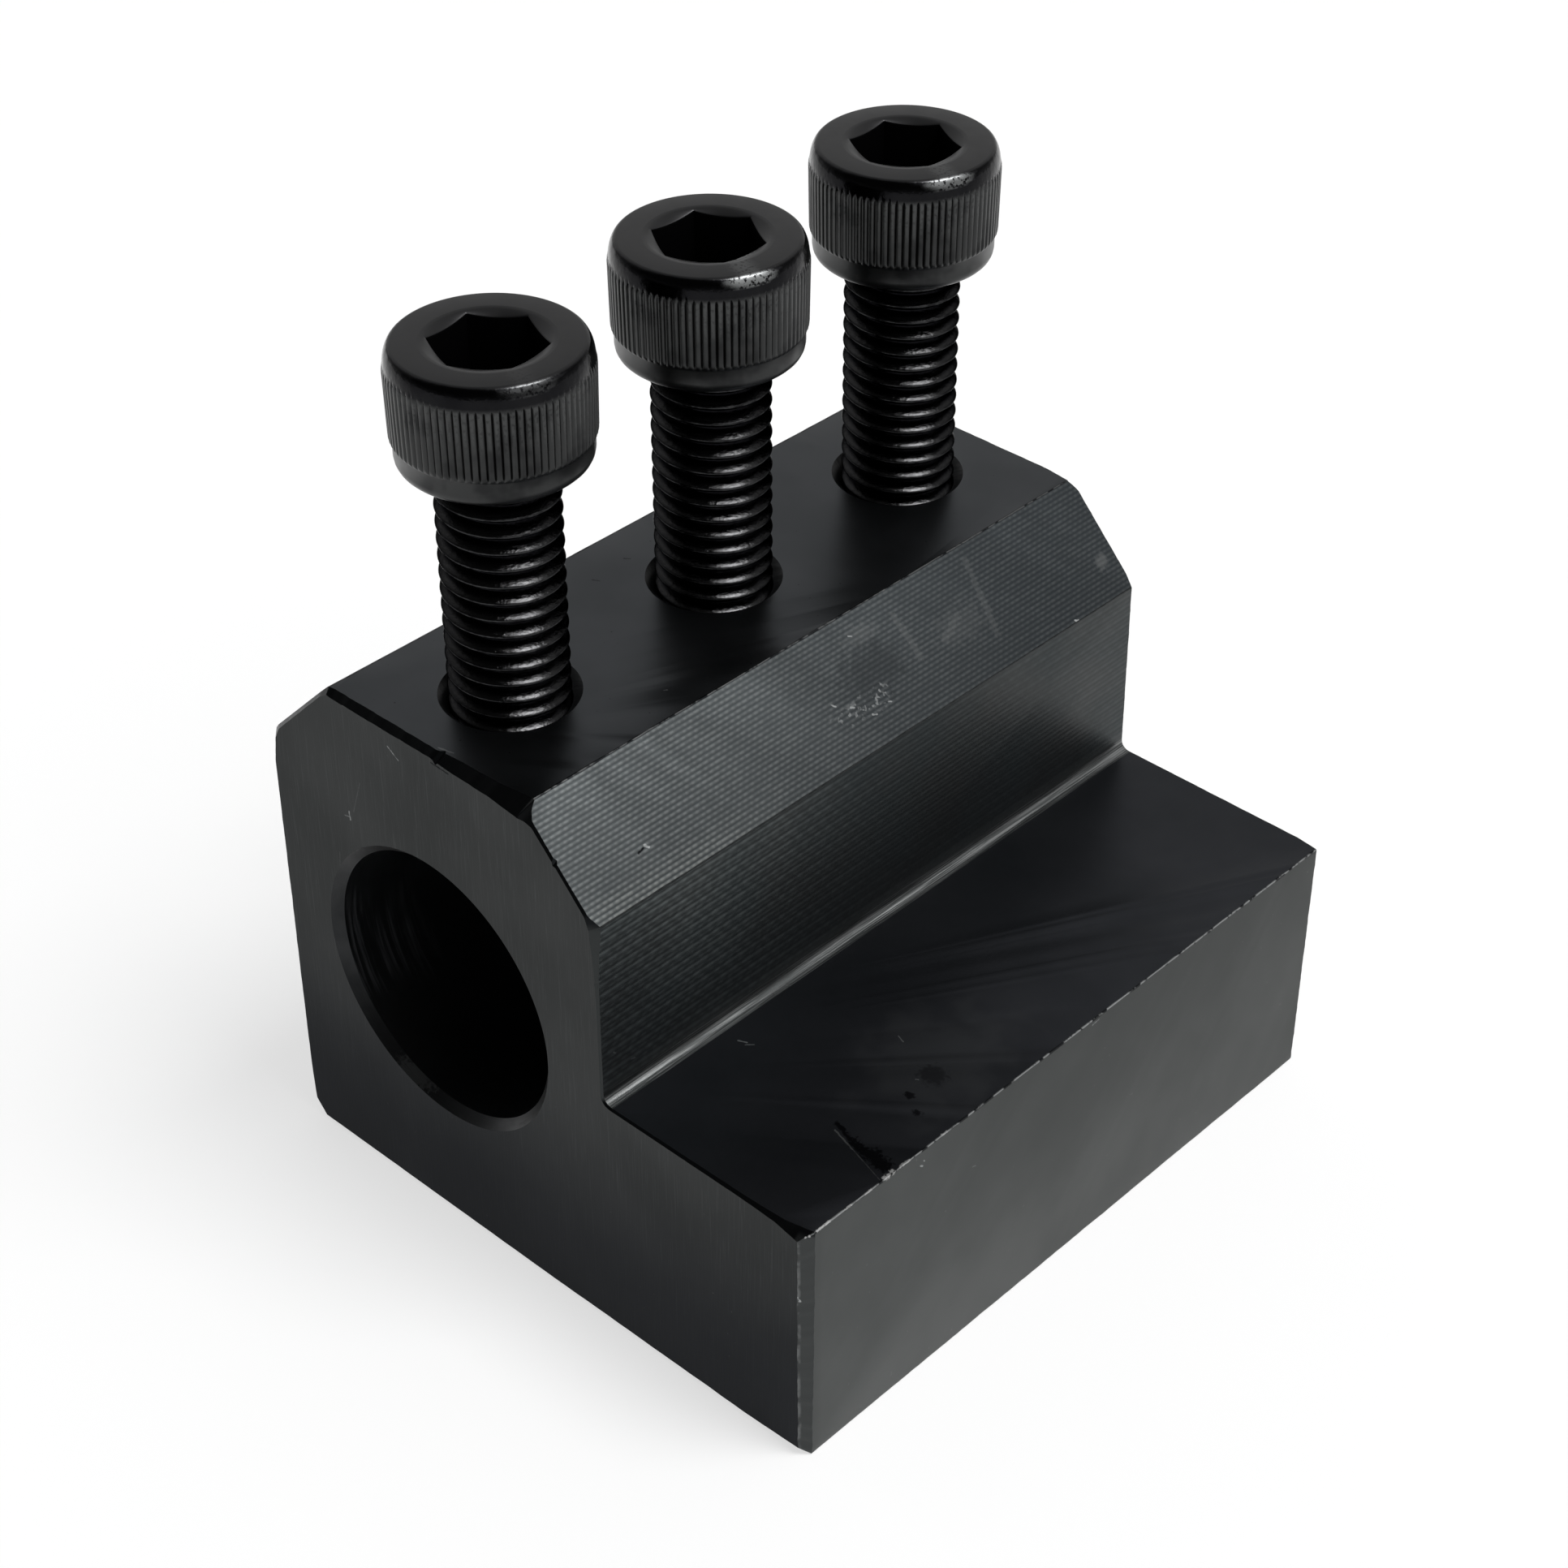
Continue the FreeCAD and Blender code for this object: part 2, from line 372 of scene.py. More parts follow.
def calc(tree, operation, *terms):
    """A Math node's result."""
    return node(tree, "ShaderNodeMath", dict(enumerate(terms)), operation=operation).outputs[0]


def vector_calc(tree, operation, *terms):
    """A Vector Math node's result: a number for a length, a distance or a dot product."""
    made = node(tree, "ShaderNodeVectorMath", dict(enumerate(terms)), operation=operation)
    is_number = operation in ("LENGTH", "DISTANCE", "DOT_PRODUCT")
    return made.outputs["Value" if is_number else "Vector"]


def fade(tree, value, start, end, low=0.0, high=1.0):
    """Turn a value into a smooth step from low at start to high at end."""
    inputs = {"Value": value, "From Min": start, "From Max": end, "To Min": low, "To Max": high}
    made = node(tree, "ShaderNodeMapRange", inputs, interpolation_type="SMOOTHSTEP")
    return made.outputs["Result"]


def mix_colour(tree, share, first, second):
    made = node(tree, "ShaderNodeMix", {0: share, 6: first, 7: second}, data_type="RGBA")
    return made.outputs[2]


def noise_at(tree, place, size, detail):
    """Noise whose blotches are about this many millimetres across."""
    scale = calc(tree, "DIVIDE", 1.0, size)
    made = node(tree, "ShaderNodeTexNoise", {"Vector": place, "Scale": scale, "Detail": detail})
    return made.outputs["Fac"]


def effect(name, inputs, outputs):
    """Start a node group for an effect, and give its tree and the sockets it takes in.

    Each input comes with its usual value, and each output is a mask or a height.
    """
    tree = bpy.data.node_groups.new(name, "ShaderNodeTree")
    for label, value in inputs.items():
        kind = "NodeSocketVector" if isinstance(value, tuple) else "NodeSocketFloat"
        tree.interface.new_socket(label, in_out="INPUT", socket_type=kind).default_value = value
    for label in outputs:
        tree.interface.new_socket(label, in_out="OUTPUT", socket_type="NodeSocketFloat")
    return tree, tree.nodes.new("NodeGroupInput").outputs


# Black oxide takes unevenly: faint clouds, and specks where the bath left salt or dust. The
# specks are where the noise comes near its most, which it seldom does.
MOST_NOISE = 0.80
SPECK_BLUR = 0.05
oxide_cloud, taken = effect("oxide_cloud", {
    "Place": (0, 0, 0), "Cloud Size": 8.0, "Speck Size": 0.4, "Speck Share": 0.05,
}, ["Cloud", "Specks"])
clouds = noise_at(oxide_cloud, taken["Place"], taken["Cloud Size"], 3.0)
speck_noise = noise_at(oxide_cloud, taken["Place"], taken["Speck Size"], 1.0)
speck_line = calc(oxide_cloud, "SUBTRACT", MOST_NOISE, taken["Speck Share"])
speck_top = calc(oxide_cloud, "ADD", speck_line, SPECK_BLUR)
node(oxide_cloud, "NodeGroupOutput", {
    "Cloud": fade(oxide_cloud, clouds, 0.25, 0.75),
    "Specks": fade(oxide_cloud, speck_noise, speck_line, speck_top),
})

# Lines that a cutter leaves, broken into dashes by its teeth, each line half a dash on. They
# are uneven: by so much from line to line and dash to dash, by the angle that a dash slips, and
# by how far its light swings. A gap keeps some of a dash's light.
LINE_CHANGE = 3.7
DASH_CHANGE = 0.4
DASH_SLIP = 5.0
DASH_SWING = 0.16
DASH_ENDS = (0.34, 0.72)
GAP_LIGHT = 0.45
cutter_lines, taken = effect("cutter_lines", {
    "Across": 0.0, "Along": 0.0, "Pitch": 0.36, "Dash": 0.65,
}, ["Height", "Dashes"])
line_count = calc(cutter_lines, "DIVIDE", taken["Across"], taken["Pitch"])
line_number = calc(cutter_lines, "ROUND", line_count)
dash_count = calc(cutter_lines, "DIVIDE", taken["Along"], taken["Dash"])
ridge_angle = calc(cutter_lines, "MULTIPLY", line_count, 2 * math.pi)
ridge = calc(cutter_lines, "MULTIPLY_ADD", calc(cutter_lines, "COSINE", ridge_angle), 0.5, 0.5)
line_and_dash = node(cutter_lines, "ShaderNodeCombineXYZ", {
    0: calc(cutter_lines, "MULTIPLY", line_number, LINE_CHANGE),
    1: calc(cutter_lines, "MULTIPLY", dash_count, DASH_CHANGE),
}).outputs[0]
uneven = noise_at(cutter_lines, line_and_dash, 1.0, 2.0)
uneven_shift = calc(cutter_lines, "MULTIPLY", uneven, DASH_SLIP)
dash_shift = calc(cutter_lines, "MULTIPLY_ADD", line_number, math.pi, uneven_shift)
dash_angle = calc(cutter_lines, "MULTIPLY_ADD", dash_count, 2 * math.pi, dash_shift)
weave = calc(cutter_lines, "COSINE", dash_angle)
dash_level = calc(cutter_lines, "MULTIPLY_ADD", weave, DASH_SWING, uneven)
dash_light = fade(cutter_lines, dash_level, *DASH_ENDS, GAP_LIGHT, 1.0)
dashes = calc(cutter_lines, "MULTIPLY", ridge, dash_light)
half_ridge = calc(cutter_lines, "MULTIPLY", ridge, 0.5)
node(cutter_lines, "NodeGroupOutput", {
    "Height": calc(cutter_lines, "MULTIPLY_ADD", dashes, 0.5, half_ridge),
    "Dashes": dashes,
})

# Fine scratches or turning marks, drawn out in one direction by the fineness
drawn_grain, taken = effect("drawn_grain", {
    "Place": (0, 0, 0), "Fineness": (1, 1, 1),
}, ["Grain"])
drawn = vector_calc(drawn_grain, "MULTIPLY", taken["Place"], taken["Fineness"])
drawn_noise = node(drawn_grain, "ShaderNodeTexNoise", {
    "Vector": drawn, "Scale": 1.0, "Detail": 4.0, "Roughness": 0.6})
node(drawn_grain, "NodeGroupOutput", {"Grain": drawn_noise.outputs["Fac"]})

# Wear: the black rubs off in patches where an edge stands proud
WEAR_STARTS = 0.75
WEAR_BLUR = 0.12
edge_wear, taken = effect("edge_wear", {
    "Place": (0, 0, 0), "Rub": 0.0, "Patch Size": 1.0, "Share": 0.5,
}, ["Wear"])
patches = noise_at(edge_wear, taken["Place"], taken["Patch Size"], 4.0)
half_share = calc(edge_wear, "MULTIPLY", taken["Share"], 0.5)
wear_line = calc(edge_wear, "SUBTRACT", WEAR_STARTS, half_share)
wear_top = calc(edge_wear, "ADD", wear_line, WEAR_BLUR)
worn = fade(edge_wear, patches, wear_line, wear_top)
node(edge_wear, "NodeGroupOutput", {"Wear": calc(edge_wear, "MULTIPLY", worn, taken["Rub"])})

# A smudge or stain around one place: uneven, and gone at its reach
SMUDGE_FRAY = 1.6
smudge, taken = effect("smudge", {
    "Place": (0, 0, 0), "Centre": (0, 0, 0), "Reach": (5, 5, 5), "Patch Size": 1.0,
}, ["Mask"])
from_centre = vector_calc(smudge, "SUBTRACT", taken["Place"], taken["Centre"])
distance = vector_calc(smudge, "LENGTH", vector_calc(smudge, "DIVIDE", from_centre, taken["Reach"]))
patchy = noise_at(smudge, taken["Place"], taken["Patch Size"], 2.0)
less_half_fray = calc(smudge, "ADD", distance, -SMUDGE_FRAY / 2)
frayed = calc(smudge, "MULTIPLY_ADD", patchy, SMUDGE_FRAY, less_half_fray)
node(smudge, "NodeGroupOutput", {"Mask": fade(smudge, frayed, 1.0, 0.4)})

# A scratch, nick or crumb that runs from one place to another, its sides frayed by some noise
SCRATCH_FRAY = 2.0
SCRATCH_CORE = 0.4
scratch, taken = effect("scratch", {
    "Place": (0, 0, 0), "Start": (0, 0, 0), "End": (1, 0, 0), "Width": 0.1, "Fray": 0.5,
}, ["Mask"])
run = vector_calc(scratch, "SUBTRACT", taken["End"], taken["Start"])
along = vector_calc(scratch, "SUBTRACT", taken["Place"], taken["Start"])
run_squared = vector_calc(scratch, "DOT_PRODUCT", run, run)
run_share = vector_calc(scratch, "DOT_PRODUCT", along, run)
held_share = node(scratch, "ShaderNodeMath", {0: run_share, 1: run_squared}, operation="DIVIDE",
                  use_clamp=True)
nearest = vector_calc(scratch, "MULTIPLY", run, held_share.outputs[0])
beside = vector_calc(scratch, "DISTANCE", along, nearest)
fray = calc(scratch, "SUBTRACT", taken["Fray"], 0.5)
fray_width = calc(scratch, "MULTIPLY", taken["Width"], SCRATCH_FRAY)
from_line = calc(scratch, "MULTIPLY_ADD", fray, fray_width, beside)
inner_width = calc(scratch, "MULTIPLY", taken["Width"], SCRATCH_CORE)
node(scratch, "NodeGroupOutput", {"Mask": fade(scratch, from_line, taken["Width"], inner_width)})


class BlackSteel:
    """A material of blackened steel whose colour, roughness and height are built up in steps."""

    FRAY_SIZE = 0.28
    ROUGHNESS_SPREAD = 0.03

    def __init__(self, name, dark, light, roughness, metallic=1.0, specular=0.5, cloud_size=8.0,
                 specks=0.03, glancing=1.0):
        self.material = bpy.data.materials.new(name)
        self.material.use_nodes = True
        self.tree = self.material.node_tree
        self.tree.nodes.clear()
        coordinates = node(self.tree, "ShaderNodeTexCoord").outputs["Object"]
        in_mm = node(self.tree, "ShaderNodeVectorMath", {0: coordinates, "Scale": 1 / MM},
                     operation="SCALE")
        self.place = in_mm.outputs[0]
        axes = node(self.tree, "ShaderNodeSeparateXYZ", {0: self.place}).outputs
        self.x, self.y, self.z = axes
        oxide = self.effect(oxide_cloud, Cloud_Size=cloud_size, Speck_Share=specks)
        self.cloud = oxide["Cloud"]
        self.specks = oxide["Specks"]
        self.colour = mix_colour(self.tree, self.cloud, (*dark, 1), (*light, 1))
        self.roughness = fade(self.tree, self.cloud, 0.0, 1.0, roughness + self.ROUGHNESS_SPREAD,
                              roughness - self.ROUGHNESS_SPREAD)
        self.height = 0.0
        self.metallic = metallic
        self.specular = specular
        self.glancing = (glancing, glancing, glancing, 1)

    def effect(self, group, **values):
        """Add a shared effect. One that takes a place gets the piece's own."""
        inputs = {label.replace("_", " "): value for label, value in values.items()}
        if any(item.name == "Place" for item in group.interface.items_tree):
            inputs["Place"] = self.place
        return node(self.tree, "ShaderNodeGroup", inputs, node_tree=group).outputs

    def grain(self, *fineness):
        """Fine marks, as many to the millimetre along X, Y and Z as the fineness says."""
        return self.effect(drawn_grain, Fineness=fineness)["Grain"]

    def wear(self, patch_size, share):
        """Worn patches, where the mesh says that handling rubs it."""
        rub = node(self.tree, "ShaderNodeAttribute", attribute_name="rub").outputs["Fac"]
        return self.effect(edge_wear, Rub=rub, Patch_Size=patch_size, Share=share)["Wear"]

    def smudge_at(self, centre, reach, patch_size):
        """The mask of one smudge."""
        made = self.effect(smudge, Centre=centre, Reach=reach, Patch_Size=patch_size)
        return made["Mask"]

    def from_axis(self):
        """How far each point is from the piece's upright axis."""
        flat = vector_calc(self.tree, "MULTIPLY", self.place, (1, 1, 0))
        return vector_calc(self.tree, "LENGTH", flat)

    def fade(self, value, start, end, low=0.0, high=1.0):
        return fade(self.tree, value, start, end, low, high)

    def both(self, first, second):
        """Where two masks meet."""
        return calc(self.tree, "MULTIPLY", first, second)

    def tint(self, mask, colour, strength=1.0):
        """Lay another colour over the surface where the mask is."""
        share = calc(self.tree, "MULTIPLY", mask, strength)
        self.colour = mix_colour(self.tree, share, self.colour, (*colour, 1))

    def roughen(self, mask, amount):
        self.roughness = calc(self.tree, "MULTIPLY_ADD", mask, amount, self.roughness)

    def raise_by(self, value, millimetres):
        self.height = calc(self.tree, "MULTIPLY_ADD", value, millimetres, self.height)

    def smudged(self, rows):
        """Lay smudges, each with its centre, reach, patch size, colour and how much it shows."""
        for centre, reach, patch_size, colour, strength in rows:
            self.tint(self.smudge_at(centre, reach, patch_size), colour, strength)

    def scratch_masks(self, rows):
        """The mask of each row's scratch, from its start, end and width. One noise frays all."""
        fray = noise_at(self.tree, self.place, self.FRAY_SIZE, 1.0)
        for start, end, width, *_ in rows:
            yield self.effect(scratch, Start=start, End=end, Width=width, Fray=fray)["Mask"]

    def scratched(self, rows):
        """Lay scratches, each with its start, end, width, colour and how much it shows."""
        for row, mask in zip(rows, self.scratch_masks(rows)):
            self.tint(mask, *row[3:])

    def burred(self, rows):
        """Lay torn, matt steel, each place with its start, end, width and how much it shows."""
        for row, mask in zip(rows, self.scratch_masks(rows)):
            strength = row[3]
            self.tint(mask, TORN_STEEL, strength)
            self.metallic = calc(self.tree, "MULTIPLY_ADD", mask, -strength, self.metallic)

    def finished(self):
        bump = node(self.tree, "ShaderNodeBump", {"Height": self.height, "Distance": MM})
        shader = node(self.tree, "ShaderNodeBsdfPrincipled", {
            "Base Color": self.colour,
            "Roughness": self.roughness,
            "Metallic": self.metallic,
            "Specular IOR Level": self.specular,
            "Specular Tint": self.glancing,
            "Normal": bump.outputs["Normal"],
        })
        node(self.tree, "ShaderNodeOutputMaterial", {"Surface": shader.outputs[0]})
        return self.material


BARE_STEEL = (0.34, 0.35, 0.35)
TORN_STEEL = (0.50, 0.50, 0.49)
CRUMB = (0.26, 0.27, 0.27)
OIL_AND_SHADE = (0.003, 0.003, 0.004)
GREASE = (0.028, 0.031, 0.033)
LINT_AND_HIGHLIGHT = (0.12, 0.125, 0.125)

# Bright nicks on the flange's edge, which cross on to the faces beside it
CORNER_NICKS = [
    ((29.55, -33.00, 24.50), (29.65, -33.20, 23.90), 0.09, 0.9),
    ((29.95, -33.00, 24.50), (30.05, -33.15, 23.90), 0.09, 0.9),
    ((30.20, -32.0, 24.45), (30.20, -30.6, 24.45), 0.13, 0.45),
    ((30.20, -28.9, 24.45), (30.20, -28.2, 24.45), 0.12, 0.4),
    ((30.20, -26.6, 24.45), (30.20, -25.9, 24.45), 0.11, 0.35),
    ((30.10, -24.2, 24.45), (30.05, -23.3, 24.45), 0.28, 0.55),
    ((30.15, -22.5, 24.45), (30.15, -21.5, 24.45), 0.14, 0.4),
    ((30.15, -17.6, 24.45), (30.15, -16.9, 24.45), 0.12, 0.35),
]

# The milled sides and foot: satin, darker towards the far end and along the near edge
SATIN_FAR = (0.044, 0.047, 0.046)
SATIN_NEAR = (0.046, 0.050, 0.049)
SATIN_SPECK = (0.13, 0.13, 0.13)
satin = BlackSteel("block_satin", (0.054, 0.058, 0.057), (0.064, 0.068, 0.067), 0.50, metallic=0.8,
                   cloud_size=12.0)
satin_grain = satin.grain(0.6, 0.6, 5.0)
satin.raise_by(satin_grain, 0.004)
satin.tint(satin.fade(satin.y, -28.0, 4.0), SATIN_FAR, 0.6)
satin.tint(satin.fade(satin.y, -31.2, -32.3), SATIN_NEAR, 0.8)
satin.tint(satin.specks, SATIN_SPECK, 0.4)
satin.scratched([
    ((30.25, -13.6, 18.4), (30.25, -13.3, 18.3), 0.07, CRUMB, 0.3),
    ((30.25, -20.2, 23.0), (30.25, -19.9, 22.8), 0.10, CRUMB, 0.9),
    ((30.25, -19.8, 23.3), (30.25, -19.7, 23.2), 0.07, CRUMB, 0.8),
    ((30.25, 1.2, 24.0), (30.25, 2.0, 24.1), 0.08, CRUMB, 0.5),
])
satin.burred(CORNER_NICKS)
block_satin = satin.finished()

# The end faces: ground upright, with painted shade that darkens them towards the foot
GROUND_STREAK = (0.100, 0.105, 0.105)
GROUND_FOOT_SHADE = (0.014, 0.015, 0.018)
GROUND_SPECK = (0.10, 0.10, 0.10)
ground = BlackSteel("block_ground", (0.043, 0.045, 0.045), (0.050, 0.052, 0.052), 0.48, cloud_size=14.0,
                    glancing=0.6)
ground_grain = ground.grain(7.0, 7.0, 0.2)
ground.raise_by(ground_grain, 0.006)
ground.tint(ground.fade(ground_grain, 0.5, 0.8), GROUND_STREAK, 0.40)
# Painted shade: darker towards the foot, where the face would mirror the shadowed floor near the base
ground.tint(ground.fade(ground.z, 27.0, 5.0), GROUND_FOOT_SHADE, 0.8)
ground.tint(ground.specks, GROUND_SPECK, 0.5)
ground.scratched([
    ((-20.6, -33.25, 38.6), (-20.5, -33.25, 37.8), 0.10, CRUMB, 0.8),
    ((-21.2, -33.25, 37.95), (-20.5, -33.25, 38.1), 0.07, CRUMB, 0.5),
    ((-14.8, -33.25, 48.0), (-13.6, -33.25, 47.2), 0.07, CRUMB, 0.7),
    ((-20.1, -33.25, 49.4), (-19.6, -33.25, 49.5), 0.05, CRUMB, 0.6),
    ((-18.8, -33.25, 42.4), (-20.0, -33.25, 38.9), 0.05, LINT_AND_HIGHLIGHT, 0.4),
    ((-22.4, -33.25, 33.5), (-22.6, -33.25, 31.8), 0.05, LINT_AND_HIGHLIGHT, 0.4),
    ((-9.6, -33.25, 49.0), (-7.6, -33.25, 48.9), 0.09, OIL_AND_SHADE, 0.8),
])
block_ground = ground.finished()

# The flat top: the smoothest face, with dark specks
crown = BlackSteel("block_crown", (0.048, 0.052, 0.056), (0.060, 0.064, 0.069), 0.26, cloud_size=7.0,
                   specks=0.04)
crown.roughen(crown.cloud, 0.10)
crown.tint(crown.specks, OIL_AND_SHADE, 0.8)
crown.scratched([
    ((-18.6, -3.3, 50.0), (-18.2, -3.0, 50.0), 0.10, OIL_AND_SHADE, 0.8),
    ((-18.2, -7.5, 50.0), (-17.6, -7.2, 50.0), 0.10, OIL_AND_SHADE, 0.7),
    ((-2.3, -14.9, 50.0), (-2.2, -14.7, 50.0), 0.12, CRUMB, 0.8),
    ((-8.3, -0.8, 50.0), (-8.0, -0.7, 50.0), 0.09, CRUMB, 0.3),
    ((-9.6, -32.4, 50.0), (-8.2, -32.1, 50.0), 0.10, CRUMB, 0.35),
])
block_crown = crown.finished()

# The top of the flange: painted shade towards the near end and a broad painted reflection, with stains,
# smears and bright nicks
flange = BlackSteel("block_flange", (0.026, 0.028, 0.032), (0.036, 0.038, 0.043), 0.34, cloud_size=9.0,
                    specks=0.04)
flange_grain = flange.grain(3.2, 0.5, 1.0)
flange.raise_by(flange_grain, 0.006)
flange.roughen(flange.cloud, 0.06)
# Painted shade: the near end is darkened with the oil colour
flange.tint(flange.fade(flange.y, 14.0, -14.0), OIL_AND_SHADE, 0.35)
flange.smudged([
    # The first, broad pale patch is a painted reflection of the room, in the lint colour; the rest are
    # oil stains
    ((24.0, -11.0, 24.5), (7.5, 9.0, 5.0), 4.0, LINT_AND_HIGHLIGHT, 0.10),
    ((25.3, -15.9, 24.5), (0.6, 0.5, 5.0), 0.3, OIL_AND_SHADE, 0.9),
    ((27.1, -17.0, 24.5), (0.6, 0.4, 5.0), 0.3, OIL_AND_SHADE, 0.9),
    ((25.1, -12.8, 24.5), (1.6, 1.5, 5.0), 0.5, OIL_AND_SHADE, 0.5),
])
flange.scratched([
    ((10.8, -20.4, 24.5), (11.5, -20.1, 24.5), 0.09, CRUMB, 0.7),
    ((11.6, -20.4, 24.5), (12.1, -19.9, 24.5), 0.07, CRUMB, 0.5),
    ((19.9, -11.1, 24.5), (20.7, -11.4, 24.5), 0.06, CRUMB, 0.35),
    ((24.4, -14.1, 24.5), (24.6, -14.0, 24.5), 0.07, CRUMB, 0.5),
    ((23.3, -22.2, 24.5), (26.6, -23.3, 24.5), 0.28, OIL_AND_SHADE, 1.0),
    ((25.6, -22.9, 24.5), (28.9, -23.5, 24.5), 0.60, OIL_AND_SHADE, 1.0),
    ((27.5, -22.9, 24.5), (29.2, -23.3, 24.5), 0.90, OIL_AND_SHADE, 1.0),
    ((23.7, -22.9, 24.5), (26.2, -23.6, 24.5), 0.10, LINT_AND_HIGHLIGHT, 0.8),
    ((26.2, -23.6, 24.5), (30.0, -24.7, 24.5), 0.06, LINT_AND_HIGHLIGHT, 0.5),
])
flange.burred(CORNER_NICKS)
block_flange = flange.finished()

# The two crown chamfers: cutter lines along the block whose dashes are painted pale as highlights, most
# at the near end, the far end darkened as painted shade, a fingerprint with crumbs of dried oil, and
# smears
CHAMFER_FAR_SHADE = (0.018, 0.022, 0.026)
CHAMFER_DASH_HIGHLIGHT = (0.17, 0.18, 0.18)
LOWER_DASH_HIGHLIGHT = (0.22, 0.23, 0.22)
CHAMFER_PITCH = 0.424
CHAMFER_SLOPE = math.hypot(FRONT_CHAMFER_ACROSS, FRONT_CHAMFER_DROP) / FRONT_CHAMFER_DROP
chamfer = BlackSteel("block_chamfer", (0.045, 0.050, 0.052), (0.057, 0.063, 0.065), 0.40, cloud_size=9.0)
up_slope = calc(chamfer.tree, "MULTIPLY", chamfer.z, CHAMFER_SLOPE)
lines = chamfer.effect(cutter_lines, Across=up_slope, Along=chamfer.y, Pitch=CHAMFER_PITCH, Dash=0.70)
# Painted highlight: how strongly the dashes are paled, rising towards the near end
near_end = chamfer.fade(chamfer.y, 20.0, -30.0, 0.42, 1.0)
# Painted shade: darker towards the far end
chamfer.tint(chamfer.fade(chamfer.y, -26.0, 26.0), CHAMFER_FAR_SHADE, 0.65)
chamfer.raise_by(lines["Height"], 0.012)
chamfer.tint(lines["Dashes"], CHAMFER_DASH_HIGHLIGHT, chamfer.both(near_end, 0.58))
# Painted highlight: paler dashes in a band low on the near part
lower_band = chamfer.both(chamfer.fade(chamfer.z, 43.8, 42.4), chamfer.fade(chamfer.y, -8.0, -26.0))
chamfer.tint(chamfer.both(lines["Dashes"], lower_band), LOWER_DASH_HIGHLIGHT, 0.5)
chamfer.smudged([
    ((4.2, 2.6, 46.3), (3.0, 4.6, 3.0), 0.9, GREASE, 0.55),
    ((4.7, 13.5, 45.8), (2.2, 4.0, 2.2), 0.6, LINT_AND_HIGHLIGHT, 0.16),
    ((2.1, 3.4, 48.4), (1.1, 2.6, 1.1), 0.5, LINT_AND_HIGHLIGHT, 0.22),
    ((5.9, 31.0, 44.4), (0.9, 1.0, 0.9), 0.6, LINT_AND_HIGHLIGHT, 0.5),
])
# Crumbs of dried oil round the lower rim of the fingerprint
rim_of_print = chamfer.smudge_at((5.8, 0.2, 44.6), (1.1, 4.6, 1.1), 1.5)
crumbs = chamfer.fade(noise_at(chamfer.tree, chamfer.place, 0.42, 1.0), 0.54, 0.64)
chamfer.tint(chamfer.both(rim_of_print, crumbs), CRUMB, 0.55)
chamfer.scratched([
    ((4.7, -2.8, 45.75), (4.9, -2.5, 45.5), 0.10, CRUMB, 0.9),
    ((5.4, -1.2, 45.0), (5.5, -0.9, 44.9), 0.12, CRUMB, 0.9),
    ((5.9, -0.2, 44.5), (6.0, 0.0, 44.4), 0.10, CRUMB, 0.9),
    ((6.4, 0.4, 43.95), (6.5, 0.8, 43.8), 0.11, CRUMB, 0.9),
    ((6.2, 2.5, 44.1), (6.3, 2.8, 44.0), 0.09, CRUMB, 0.8),
    ((1.9, 2.3, 48.7), (2.0, 2.6, 48.6), 0.09, CRUMB, 0.7),
    ((1.6, 17.4, 49.0), (6.3, 16.5, 44.1), 0.45, LINT_AND_HIGHLIGHT, 0.22),
    ((2.3, 7.6, 48.3), (5.0, 7.8, 45.4), 0.50, LINT_AND_HIGHLIGHT, 0.22),
    ((4.2, 13.4, 46.3), (4.9, 11.1, 45.5), 0.50, LINT_AND_HIGHLIGHT, 0.22),
    ((5.8, -25.4, 44.6), (6.0, -25.1, 44.4), 0.14, CRUMB, 0.9),
    ((6.0, -26.2, 44.4), (5.9, -25.6, 44.5), 0.12, OIL_AND_SHADE, 0.9),
    ((8.1, 24.9, 42.15), (8.15, 25.2, 42.1), 0.13, BARE_STEEL, 1.0),
])
block_chamfer = chamfer.finished()

# The riser from the flange to the chamfer: two sets of cutter lines, one over the other, their dashes
# painted pale as highlights that grow towards the near end
RISER_PITCH = 0.505
RISER_DASH_HIGHLIGHT = (0.15, 0.17, 0.17)
COARSE_DASH_HIGHLIGHT = (0.17, 0.19, 0.19)
RISER_FOOT = (0.09, 0.095, 0.095)
riser = BlackSteel("block_riser", (0.030, 0.036, 0.038), (0.042, 0.044, 0.044), 0.42, cloud_size=10.0)
riser_lines = riser.effect(cutter_lines, Across=riser.z, Along=riser.y, Pitch=RISER_PITCH, Dash=1.1)
coarse_lines = riser.effect(cutter_lines, Across=riser.z, Along=riser.y, Pitch=2 * RISER_PITCH, Dash=1.4)
riser.raise_by(riser_lines["Height"], 0.010)
# Painted highlight: how strongly the dashes are paled, rising towards the near end
to_near_end = riser.fade(riser.y, 4.0, -30.0, 0.15, 1.0)
riser.tint(riser_lines["Dashes"], RISER_DASH_HIGHLIGHT, riser.both(to_near_end, 0.6))
riser.tint(coarse_lines["Dashes"], COARSE_DASH_HIGHLIGHT, riser.both(to_near_end, 0.55))
riser.tint(riser.fade(riser.z, 26.6, 25.9), RISER_FOOT, 0.35)
riser.scratched([
    ((8.25, -31.8, 29.0), (8.25, -31.6, 28.8), 0.12, CRUMB, 0.8),
    ((8.25, -29.9, 27.1), (8.25, -29.5, 27.0), 0.09, CRUMB, 0.5),
])
block_riser = riser.finished()

